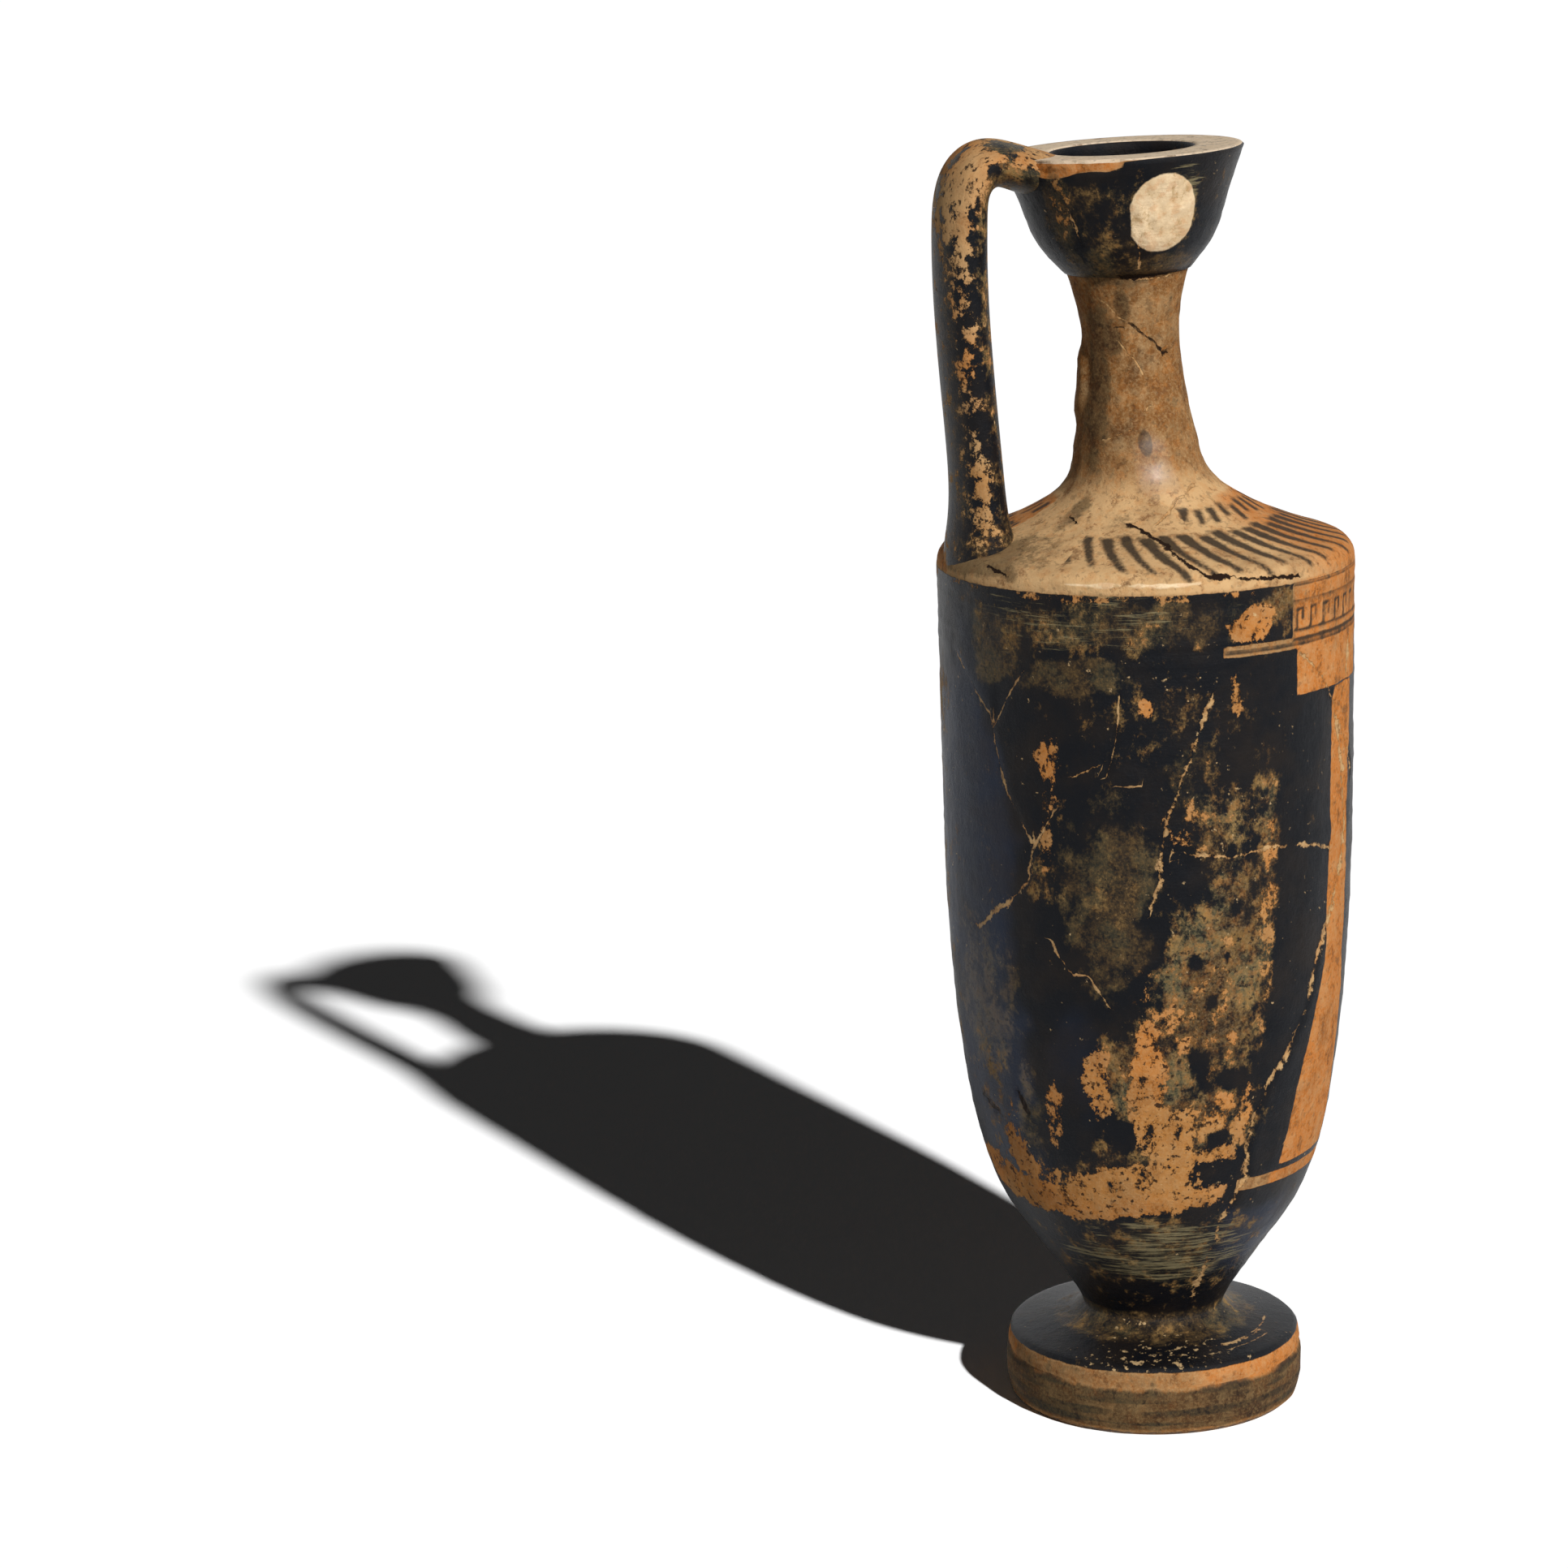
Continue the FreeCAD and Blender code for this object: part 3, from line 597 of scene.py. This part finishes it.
def show(name, work, material):
    """Turns finished bmesh work in mm into a smooth object of the scene, with its material."""
    bmesh.ops.recalc_face_normals(work, faces=work.faces)
    mesh = bpy.data.meshes.new(name)
    work.to_mesh(mesh)
    work.free()
    mesh.shade_smooth()
    mesh.materials.append(material)
    piece = bpy.data.objects.new(name, mesh)
    bpy.context.scene.collection.objects.link(piece)
    return piece


def stand(piece):
    """Hangs a finished piece on the frame in place of the CAD node."""
    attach(piece, "root")
    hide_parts("lekythos")


def weathered(wall, fields, sizes):
    """Moves the wall's points in and out for the wheel's marks, warps, chips, steps and grooves."""
    points = wall.points
    outside = wall.radius > np.interp(wall.height, wall.outer[:, 1], wall.outer[:, 0]) - 0.7
    turn, height = np.radians(wall.turn), wall.height
    warp = np.sin(2 * turn + 1.1) * np.sin(height / 37)
    warp += 0.6 * np.sin(3 * turn + 2.0) * np.cos(height / 23)
    marks = np.sin(height * 2.1 + 0.4 * np.sin(turn)) * np.sin(height * 0.37) + 0.5 * np.sin(height * 3.7)
    move = (sizes.warp * warp * ramp(height, 14, 60) + sizes.wheel_mark * marks) / MM
    move += 0.12 * rough(points, 6.0, 1) + 0.06 * rough(points, 1.8, 2)
    for name, depth, half in (("filled", 0.16, 0.45), ("open", 0.5, 0.5)):
        move -= depth * np.exp(-(fields[name] / half) ** 2)
    step = np.tanh(fields["filled"] * 2) * np.exp(-np.abs(fields["filled"]) / 5)
    move += 0.14 * step * (height < 150)
    move += (0.25 + 0.4 * rough(points, 1.5, 8)) * ramp(fields["fresh_and_highlight"], -0.3, 0.3)
    move += 0.9 * ramp(wall.spot(*NECK_SEAM), 1.1, 0.6)
    move -= 1.3 * np.exp(-wall.spot(*NECK_HOLE) ** 2)
    chip = ramp(chipped(wall), -0.3, 1.0)
    move -= chip * (0.7 + 0.5 * rough(points, 3.0, 5))
    groove = ramp(0.45 - np.abs(height - FOOT_GROOVE), 0, 0.15) * (wall.radius > 24)
    move -= 0.45 * groove
    move = np.where(outside & (height > 0.3), move, 0)
    wide = np.maximum(wall.radius, 0.01)
    points[:, 0] += points[:, 0] / wide * move
    points[:, 1] += points[:, 1] / wide * move
    points[:, 2] -= chip * 0.3 * outside


# Inputs with one name go by number: in a Mix node 0 is the share, 2 and 3 are values, 6 and 7 colours.
def add(tree, kind, values=None, out=0, **settings):
    """Adds one node with its settings, links or sets its inputs by name or number, and gives one output."""
    node = tree.nodes.new("ShaderNode" + kind)
    for name, value in settings.items():
        setattr(node, name, value)
    for socket, value in (values or {}).items():
        if isinstance(value, bpy.types.NodeSocket):
            tree.links.new(value, node.inputs[socket])
        else:
            node.inputs[socket].default_value = value
    return node.outputs[out] if node.outputs else node


# Noises in the material: stretch along x, y and z, lump size in mm, detail and roughness.
# The clay's grit is about 0.1 mm, too fine to show, so its grain is drawn at 0.5 mm.
# The wheel's hair lines are about 0.1 mm apart, so the streaks are drawn at 0.5 mm too.
NOISES = {
    "cloud": ((1, 1, 1), 26.0, 3.0, 0.55),
    "stain": ((1, 1, 1), 9.0, 7.0, 0.6),
    "fray": ((1, 1, 1), 1.7, 5.0, 0.6),
    "fleck": ((1, 1, 0.8), 3.4, 9.0, 0.76),
    "grain": ((1, 1, 1), 0.5, 3.0, 0.7),
    "streak": ((0.06, 0.06, 1), 0.5, 7.0, 0.76),
    "speck": ((1, 1, 1), 1.2, 3.0, 0.6),
}

# Masks in the material: field, noise, how far the noise frays it, and where it starts and is whole.
MASKS = {
    "slip": ("slip", "fray", 0.55, -0.10, 0.10),
    "wash": ("wash", "fleck", 2.4, -0.30, 0.70),
    "thin": ("thin", "fleck", 3.2, 0.44, 1.0),
    "lost": ("lost", "fleck", 3.3, 0.60, 0.70),
    # Crust, and the painted shade down the neck's left side:
    "dull_and_shade": ("dull_and_shade", "fleck", 2.2, 0.40, 0.85),
    "grime": ("grime", "streak", 2.6, 0.88, 1.20),
    # Painted sheen, a reflection of the sky on the slip:
    "painted_sheen": ("painted_sheen", "cloud", 0.6, 0.25, 0.75),
    "pale": ("pale", "stain", 0.7, 0.1, 1.0),
    "orange": ("orange", "cloud", 0.4, 0.1, 0.9),
    "polish": ("polish", "stain", 0.6, 0.2, 0.9),
    # The pale scrape disc, and the painted highlight along the shoulder's front edge:
    "fresh_and_highlight": ("fresh_and_highlight", "fray", 0.7, -0.15, 0.15),
    "rim": ("rim", "fray", 0.4, 0.4, 0.6),
    "umber": ("umber", "stain", 0.5, 0.1, 0.9),
    "smoked": ("umber", "stain", 2.6, 1.0, 1.5),
    "speck": ("limed", "speck", 1.0, 0.19, 0.28),
}

# Masks made from one noise alone: the noise, and where it starts and is whole.
PLAIN_MASKS = {
    "mottle": ("fleck", 0.46, 0.60),
    "pits": ("fleck", 0.45, 0.38),
    "stained": ("stain", 0.45, 0.66),
    "clouded": ("cloud", 0.44, 0.60),
    "flaked": ("fray", 0.50, 0.60),
    "patchy": ("stain", 0.52, 0.44),
    "fine": ("grain", 0.46, 0.66),
    "pepper": ("speck", 0.43, 0.36),
}

# Breaks in the material: half width in mm.
BREAK_WIDTHS = {"filled": 0.19, "open": 0.34}

# How far the noises shift a break sideways, and how far they swell it, in mm.
BREAK_SHIFT = 1.6
BREAK_SWELL = 3.2

# Colours laid over one another, each with the mask that it shows through and its share.
# The rim's colour among these is painted paler than its clay, for the light on the rim's flat top.
CLAY_LAYERS = (
    ("pale_clay", "pale", 1.0), ("orange_clay", "orange", 1.0), ("neck_clay", "umber", 0.9),
    ("worn_orange", "flaked", 0.3), ("brown_clay", "stained", 0.5), ("brown_clay", "patchy", 0.22),
    ("rim_clay_and_painted_light", "rim", 0.9), ("brown_slip", "smoked", 0.55), ("brown_clay", "pits", 0.7),
    ("dust", "mottle", 0.3), ("dust", "fine", 0.25), ("wash", "wash", 0.95), ("slip", "pepper", 0.3),
    ("grey_streak", "grime", 0.4),
)
BARE_LAYERS = (
    ("ochre", "clouded", 0.4), ("dust", "pale", 0.7), ("brown_clay", "patchy", 0.4),
    ("dust", "mottle", 0.2), ("brown_clay", "stained", 0.4), ("dust", "fine", 0.2),
    ("slip", "pits", 0.95), ("slip", "pepper", 0.9),
)
# These also colour the painted highlight along the shoulder's front edge.
FRESH_AND_HIGHLIGHT_LAYERS = (
    ("ochre", "patchy", 0.28), ("worn_orange", "flaked", 0.3), ("ochre", "pits", 0.6),
    ("dust", "fine", 0.2),
)
WORN_LAYERS = (
    ("moss", "patchy", 0.9), ("ochre", "mottle", 0.85), ("worn_orange", "flaked", 0.25),
    ("slip", "stained", 0.6), ("slip", "pits", 0.95), ("slip", "pepper", 0.85), ("dust", "fine", 0.2),
)
# The film's first layer is a painted sheen, the sky's bluish grey reflection.
FILM_AND_SHEEN_LAYERS = (("painted_sheen_slip", "painted_sheen", 1.0), ("brown_slip", "stained", 0.4))
# The crust's first layer is a painted sheen, a grey reflection on the lower left flank.
CRUST_AND_SHEEN_LAYERS = (
    ("slate", "painted_sheen", 0.8), ("moss", "patchy", 0.3), ("slip", "pits", 0.6), ("ochre", "mottle", 0.16),
    ("ochre", "fine", 0.2), ("slip", "pepper", 0.7),
)
FILLING_LAYERS = (
    ("worn_orange", "stained", 0.7), ("dust", "mottle", 0.7), ("brown_clay", "flaked", 0.5),
    ("slip", "pits", 0.9),
)


def layered(tree, colour, layers, colours, mask):
    """Lays colours over a colour, each where its mask lets it show."""
    for name, through, share in layers:
        shown = add(tree, "Math", {0: mask[through], 1: share}, operation="MULTIPLY")
        colour = add(tree, "Mix", {0: shown, 6: colour, 7: colours[name]}, out=2, data_type="RGBA")
    return colour


def material_masks(tree):
    """The noises and masks that the material's colours and relief share, by name."""
    place = add(tree, "Attribute", out=1, attribute_name="upright")
    field = {name: add(tree, "Attribute", out=2, attribute_name=name) for name in FIELDS}
    clouds = {}
    for name, (stretch, size, detail, roughness) in NOISES.items():
        stretched = add(tree, "VectorMath", {0: place, 1: stretch}, operation="MULTIPLY")
        clouds[name] = add(tree, "TexNoise", {
            "Vector": stretched, "Scale": 1 / size, "Detail": detail, "Roughness": roughness,
        })
    mask = {}
    for name, (source, cloud, reach, start, whole) in MASKS.items():
        frayed = add(tree, "Math", {0: clouds[cloud], 1: reach, 2: field[source]}, operation="MULTIPLY_ADD")
        mask[name] = add(tree, "MapRange", {
            0: frayed, 1: start + reach / 2, 2: whole + reach / 2,
        }, interpolation_type="SMOOTHSTEP")
    for name, (cloud, start, whole) in PLAIN_MASKS.items():
        mask[name] = add(tree, "MapRange", {0: clouds[cloud], 1: start, 2: whole})
    for name, half in BREAK_WIDTHS.items():
        shift = {0: clouds["fray"], 1: BREAK_SHIFT, 2: field[name]}
        shifted = add(tree, "Math", shift, operation="MULTIPLY_ADD")
        centred = add(tree, "Math", {0: shifted, 1: BREAK_SHIFT / 2}, operation="SUBTRACT")
        gap = add(tree, "Math", {0: centred}, operation="ABSOLUTE")
        swollen = add(tree, "Math", {0: clouds["fleck"], 1: -BREAK_SWELL, 2: gap}, operation="MULTIPLY_ADD")
        edge = half - BREAK_SWELL / 2
        mask[name] = add(tree, "MapRange", {
            0: swollen, 1: edge + 0.06, 2: edge - 0.12, 4: field[name + "_near"],
        }, interpolation_type="SMOOTHSTEP")
    held = add(tree, "Math", {0: 1.0, 1: mask["lost"]}, operation="SUBTRACT")
    mask["cover"] = add(tree, "Math", {0: mask["slip"], 1: held}, operation="MULTIPLY")
    return clouds, mask


def slip_painted_clay(settings):
    """Terracotta, wheel-thrown and burnished, with iron-rich slip painted on and fired black.

    The clay is matt and grainy, the slip a thin dark film with a soft gloss, whose bluish grey sheen on the
    flanks is painted into its colour. Where the film is worn it goes olive brown, and where it has flaked
    off it bares the orange clay in ragged spots. Other marks are painted light too: painted shade down the
    neck's left side, a painted highlight along the shoulder's front edge, and a rim top painted paler for
    the light on it.
    """
    material = bpy.data.materials.new(CLAY_NAME)
    material.use_nodes = True
    tree = material.node_tree
    tree.nodes.clear()
    clouds, mask = material_masks(tree)
    colours = {name: getattr(settings, name) for name in CLAY_COLOURS}
    clay = layered(tree, colours["clay"], CLAY_LAYERS, colours, mask)
    bare = layered(tree, colours["worn_orange"], BARE_LAYERS, colours, mask)
    worn = layered(tree, colours["olive"], WORN_LAYERS, colours, mask)
    # The crust carries a painted grey sheen on the lower left flank, and it also paints the shade on the
    # neck's left side.
    crust = layered(tree, colours["earth"], CRUST_AND_SHEEN_LAYERS, colours, mask)
    filling = layered(tree, colours["filling"], FILLING_LAYERS, colours, mask)
    # The pale scrape colour, which also paints the highlight along the shoulder's front edge.
    scrape_and_highlight = layered(tree, colours["fresh_clay_and_highlight"], FRESH_AND_HIGHLIGHT_LAYERS, colours, mask)
    # The film carries the painted sheen, a bluish grey reflection of the sky.
    film = layered(tree, colours["slip"], FILM_AND_SHEEN_LAYERS, colours, mask)
    film = layered(tree, film, (
        ("crust", "dull_and_shade", 0.85), ("worn", "thin", 0.85), ("bare", "lost", 1.0),
        ("grey_streak", "grime", 0.6), ("dust", "speck", 0.8),
    ), colours | {"worn": worn, "bare": bare, "crust": crust}, mask)
    # Crust laid on the bare clay; on the neck's left side this is painted shade.
    stained = add(tree, "Math", {0: mask["dull_and_shade"], 1: 0.7}, operation="MULTIPLY")
    clay = add(tree, "Mix", {0: stained, 6: clay, 7: crust}, out=2, data_type="RGBA")
    colour = layered(tree, clay, (
        ("film", "slip", 1.0), ("scrape_and_highlight", "fresh_and_highlight", 1.0), ("filling", "filled", 0.9),
        ("deep_gap", "open", 1.0),
    ), colours | {"film": film, "scrape_and_highlight": scrape_and_highlight, "filling": filling}, mask)
    dulled = add(tree, "MapRange", {0: mask["thin"], 3: 0.4, 4: 0.65})
    roughness = add(tree, "Mix", {0: mask["cover"], 2: 0.8, 3: dulled}, data_type="FLOAT")
    glaze = add(tree, "Math", {0: mask["polish"], 1: 0.9}, operation="MULTIPLY")
    relief = add(tree, "Math", {0: clouds["grain"], 1: 0.25}, operation="MULTIPLY")
    heights = (
        (clouds["fleck"], 0.9), (clouds["streak"], 0.25), (mask["cover"], 0.3), (mask["filled"], -0.5),
        (mask["open"], -1.6),
    )
    for source, height in heights:
        relief = add(tree, "Math", {0: source, 1: height, 2: relief}, operation="MULTIPLY_ADD")
    bump = add(tree, "Bump", {"Strength": 0.8, "Distance": 0.0004, "Height": relief})
    surface = add(tree, "BsdfPrincipled", {
        "Base Color": colour, "Roughness": roughness, "Normal": bump, "IOR": 1.5,
        "Specular IOR Level": 0.1, "Coat Weight": glaze, "Coat Roughness": 0.43,
    })
    add(tree, "OutputMaterial", {"Surface": surface})
    return material


# Colours of the clay and its slip: sRGB hex code and where it shows.
CLAY_COLOURS = {
    "clay": ("ab7c4c", "Bare clay"),
    "orange_clay": ("d98339", "Reserved clay on the front"),
    "pale_clay": ("efc28a", "Bare clay on shoulder and neck"),
    # Painted paler than the rim's own beige clay, to stand in for the light on its flat top.
    "rim_clay_and_painted_light": ("fbe6ca", "Bare clay of the rim"),
    "neck_clay": ("86592b", "Bare clay of the neck, browned by handling"),
    "brown_clay": ("70492a", "Stained clay"),
    "dust": ("d6b483", "Lime and dust in pores"),
    "worn_orange": ("d2863e", "Clay bared by lost slip"),
    # Also the colour of the painted highlight along the shoulder's front edge.
    "fresh_clay_and_highlight": ("ffe2b8", "Pale scraped disc on the mouth"),
    "wash": ("3a3128", "Thinned slip of the brush lines"),
    "slip": ("0a0c11", "Black slip"),
    # Painted sheen: the sky's bluish grey reflection in the glossy slip.
    "painted_sheen_slip": ("232b3c", "Glossy slip with a blue cast"),
    # Also the colour of the painted shade down the neck's left side.
    "earth": ("2c251e", "Dull earthy crust"),
    # Painted sheen: a grey reflection on the glossy slip of the lower left flank.
    "slate": ("5e5d60", "Grey crust over glossy slip"),
    "brown_slip": ("2a2119", "Slip fired brown"),
    "olive": ("553f28", "Thin worn slip"),
    "moss": ("54543f", "Grey-green bloom on the slip"),
    "ochre": ("ae8850", "Slip worn almost through"),
    "grey_streak": ("a4966f", "Pale streaks along the turning"),
    "filling": ("c99a62", "Filling in the breaks"),
    "deep_gap": ("21140c", "Open breaks"),
}


class BodySettings(bpy.types.PropertyGroup):
    """Sizes and colours of the vase."""

    turns: IntProperty(name="Turns", description="Faces round the vase", default=320, min=24)
    outside_step: length_property("Outside step", 1.25, "Row spacing on the outside")
    fine_step: length_property("Fine step", 0.5, "Row spacing in the painted band")
    coarse_step: length_property("Coarse step", 6.0, "Row spacing inside")
    lean: angle_property("Lean", 2.1, "Lean of neck and mouth towards the handle")
    warp: length_property("Warp", 0.2, "How far the wall is out of round")
    wheel_mark: length_property("Wheel mark", 0.035, "Depth of the wheel's marks")


for name, (code, use) in CLAY_COLOURS.items():
    label = name.replace("_", " ").capitalize()
    BodySettings.__annotations__[name] = colour_property(label, code, use)


class HandleSettings(bpy.types.PropertyGroup):
    """Sizes of the handle."""

    width: FloatProperty(
        name="Width", description="Strap width against the drawn one", default=1.0, subtype="FACTOR",
    )
    sides: IntProperty(name="Sides", description="Faces round the strap", default=96, min=12)
    stations: IntProperty(name="Stations", description="Sections along the strap", default=220, min=12)


class StageSettings(bpy.types.PropertyGroup):
    """Sizes and colours of floor, light and camera."""

    floor_size: length_property("Floor size", 12000, "Half the floor's side")
    floor: colour_property("Floor", "d2d2d2", "Floor as the vase sees it")
    sun_strength: FloatProperty(name="Sun", description="Strength of the key light", default=3.4)
    sun_width: angle_property("Sun width", 1.7, "Width of the key light")
    sun_height: angle_property("Sun height", 33, "Height of the key light")
    sun_turn: angle_property("Sun turn", -77, "Turn of the key light")
    sky_strength: FloatProperty(name="Sky", description="Strength of the light all round", default=0.011)
    floor_white: FloatProperty(
        name="Floor white", description="Floor brightness seen straight on", default=1.72,
    )
    lens: FloatProperty(
        name="Lens", description="Lens for a 36 mm sensor", default=100.3, subtype="DISTANCE_CAMERA",
    )


class LEKYTHOS_OT_body(bpy.types.Operator):
    """Spins the foot, body, neck and mouth from one outline and wears the surface"""

    bl_idname = "lekythos.body"
    bl_label = "Vase"

    def execute(self, context):
        sizes = context.scene.lekythos_body
        rows = outline(sizes)
        work = bmesh.new()
        upright = work.verts.layers.float_vector.new("upright")
        chain = [work.verts.new((radius, 0, height)) for radius, height in rows]
        edges = [work.edges.new(pair) for pair in zip(chain, chain[1:])]
        bmesh.ops.spin(
            work, geom=chain + edges, cent=(0, 0, 0), axis=(0, 0, 1), angle=math.tau, steps=sizes.turns,
            use_merge=True,
        )
        bmesh.ops.remove_doubles(work, verts=work.verts, dist=0.001)
        for vert in work.verts:
            vert[upright] = vert.co
        piece = show("lekythos_body", work, slip_painted_clay(sizes))
        points = mesh_points(piece.data)
        first = np.argmax(rows[:, 0] >= FOOT_SIDE[0][0] - 0.01)
        last = np.argmax(rows[:, 1])
        outer = rows[first:last + 1]
        outer[:, 1] = np.maximum.accumulate(outer[:, 1] + np.arange(len(outer)) * 1e-6)
        wall = Wall(points, outer)
        fields = body_fields(wall)
        store(piece.data, fields)
        weathered(wall, fields, sizes)
        lean(points, sizes.lean)
        piece.data.vertices.foreach_set("co", (points * MM).astype(np.float32).ravel())
        piece.data.update()
        stand(piece)
        return {"FINISHED"}


class LEKYTHOS_OT_handle(bpy.types.Operator):
    """Draws the strap handle out of one oval, section by section, from shoulder to mouth"""

    bl_idname = "lekythos.handle"
    bl_label = "Handle"

    def execute(self, context):
        sizes = context.scene.lekythos_handle
        work = bmesh.new()
        upright = work.verts.layers.float_vector.new("upright")
        bmesh.ops.create_circle(work, cap_ends=True, radius=0.5, segments=sizes.sides)
        ends = list(work.faces)
        before = Matrix.Identity(4)
        along = 0.0
        for order, (reach, height, tilt, thick, wide) in enumerate(curve(HANDLE, sizes.stations)):
            if order:
                grown = bmesh.ops.extrude_face_region(work, geom=ends)["geom"]
                if order > 1:
                    bmesh.ops.delete(work, geom=ends, context="FACES_ONLY")
                ends = [item for item in grown if isinstance(item, bmesh.types.BMFace)]
            station = Matrix.Translation((-reach, 0, height)) @ Matrix.Rotation(math.radians(tilt), 4, "Y")
            station = station @ Matrix.Diagonal((thick, wide * sizes.width, 1, 1))
            bmesh.ops.transform(work, matrix=station @ before.inverted(), verts=ends[0].verts)
            along += (station.translation - before.translation).length
            for vert in ends[0].verts:
                section = station.inverted() @ vert.co
                vert[upright] = (vert.co.y, along, STRAP_ROUND * abs(math.atan2(section.y, section.x)))
            before = station
        piece = show("lekythos_handle", work, bpy.data.materials[CLAY_NAME])
        points = mesh_points(piece.data)
        placed = np.empty(len(points) * 3, dtype=np.float32)
        piece.data.attributes["upright"].data.foreach_get("vector", placed)
        across = STRAP_HALF * np.cos(placed.reshape(-1, 3)[:, 2] / STRAP_ROUND)
        store(piece.data, handle_fields(points, across))
        piece.data.vertices.foreach_set("co", (points * MM).astype(np.float32).ravel())
        piece.data.update()
        stand(piece)
        return {"FINISHED"}


class LEKYTHOS_OT_stage(bpy.types.Operator):
    """Lays the white floor and sets the key light, the light all round and the camera"""

    bl_idname = "lekythos.stage"
    bl_label = "Stage"

    def execute(self, context):
        scene = context.scene
        sizes = scene.lekythos_stage
        work = bmesh.new()
        bmesh.ops.create_grid(work, x_segments=1, y_segments=1, size=sizes.floor_size)
        mesh = bpy.data.meshes.new("floor")
        work.to_mesh(mesh)
        work.free()
        floor = bpy.data.objects.new("floor", mesh)
        scene.collection.objects.link(floor)
        mesh.materials.append(matt_paper(sizes))
        lamp = bpy.data.lights.new("key", "SUN")
        lamp.energy = sizes.sun_strength
        lamp.angle = sizes.sun_width
        lamp.color = (1.0, 1.0, 1.0)
        key = bpy.data.objects.new("key", lamp)
        flat = math.cos(sizes.sun_height)
        toward = Vector((
            flat * math.cos(sizes.sun_turn), flat * math.sin(sizes.sun_turn),
            math.sin(sizes.sun_height),
        ))
        key.rotation_euler = toward.to_track_quat("Z", "Y").to_euler()
        scene.collection.objects.link(key)
        scene.world = white_sky(sizes)
        scene.view_settings.view_transform = "Standard"
        self.add_camera(scene, sizes)
        return {"FINISHED"}

    def add_camera(self, scene, sizes):
        """The photograph's camera: a long lens a little above the mouth, on the handle's left side."""
        data = bpy.data.cameras.new("camera")
        data.lens = sizes.lens
        data.sensor_width = 36.0
        camera = bpy.data.objects.new("camera", data)
        camera.location = CAMERA_PLACE
        aimed = Vector(CAMERA_AHEAD).to_track_quat("-Z", "Y").to_matrix()
        rolled = Matrix.Rotation(math.radians(CAMERA_ROLL), 3, "Z")
        camera.rotation_euler = (aimed @ rolled).to_euler()
        scene.collection.objects.link(camera)
        scene.camera = camera


def straight_rays(tree):
    """One for rays by which the camera sees a surface straight, mirrored or through glass, else zero."""
    seen = add(tree, "LightPath", out="Is Camera Ray")
    rays = seen.node.outputs
    straight = add(tree, "Math", {0: seen, 1: rays["Is Glossy Ray"]}, operation="ADD")
    return add(tree, "Math", {0: straight, 1: rays["Is Transmission Ray"]}, operation="ADD")


def white_sky(sizes):
    """A studio's white surround that looks white behind the vase and lights it only faintly."""
    sky = bpy.data.worlds.new("white_surround")
    sky.use_nodes = True
    tree = sky.node_tree
    tree.nodes.clear()
    strength = add(tree, "Mix", {0: straight_rays(tree), 2: sizes.sky_strength, 3: 1.0}, data_type="FLOAT")
    light = add(tree, "Background", {"Color": (1.0, 1.0, 1.0, 1.0), "Strength": strength})
    add(tree, "OutputWorld", {"Surface": light})
    return sky


def matt_paper(sizes):
    """Matt white paper, which gives the eye an even white ground that keeps the soft shadow."""
    material = bpy.data.materials.new("matt_white_paper")
    material.use_nodes = True
    tree = material.node_tree
    tree.nodes.clear()
    white = (sizes.floor_white,) * 3 + (1.0,)
    seen = {0: straight_rays(tree), 6: sizes.floor, 7: white}
    colour = add(tree, "Mix", seen, out=2, data_type="RGBA")
    surface = add(tree, "BsdfDiffuse", {"Color": colour})
    add(tree, "OutputMaterial", {"Surface": surface})
    return material


class LEKYTHOS_PT_panel(bpy.types.Panel):
    """Lists the pieces in the sidebar"""

    bl_idname = "LEKYTHOS_PT_panel"
    bl_label = "Lekythos"
    bl_space_type = "VIEW_3D"
    bl_region_type = "UI"
    bl_category = "Lekythos"

    def draw(self, context):
        for operator in OPERATORS:
            self.layout.operator(operator.bl_idname)


OPERATORS = (LEKYTHOS_OT_body, LEKYTHOS_OT_handle, LEKYTHOS_OT_stage)
GROUPS = {
    "lekythos_body": BodySettings,
    "lekythos_handle": HandleSettings,
    "lekythos_stage": StageSettings,
}


def register():
    """Registers the settings, the operators and the panel."""
    for group in GROUPS.values():
        bpy.utils.register_class(group)
    for name, group in GROUPS.items():
        setattr(bpy.types.Scene, name, PointerProperty(type=group))
    for operator in OPERATORS:
        bpy.utils.register_class(operator)
    bpy.utils.register_class(LEKYTHOS_PT_panel)


def unregister():
    """Takes the panel, the operators and the settings away again."""
    bpy.utils.unregister_class(LEKYTHOS_PT_panel)
    for operator in reversed(OPERATORS):
        bpy.utils.unregister_class(operator)
    for name, group in GROUPS.items():
        delattr(bpy.types.Scene, name)
        bpy.utils.unregister_class(group)


def main():
    """Builds all pieces and the stage."""
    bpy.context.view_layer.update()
    register()
    bpy.ops.lekythos.body()
    bpy.ops.lekythos.handle()
    bpy.ops.lekythos.stage()


if __name__ == "__main__":
    main()
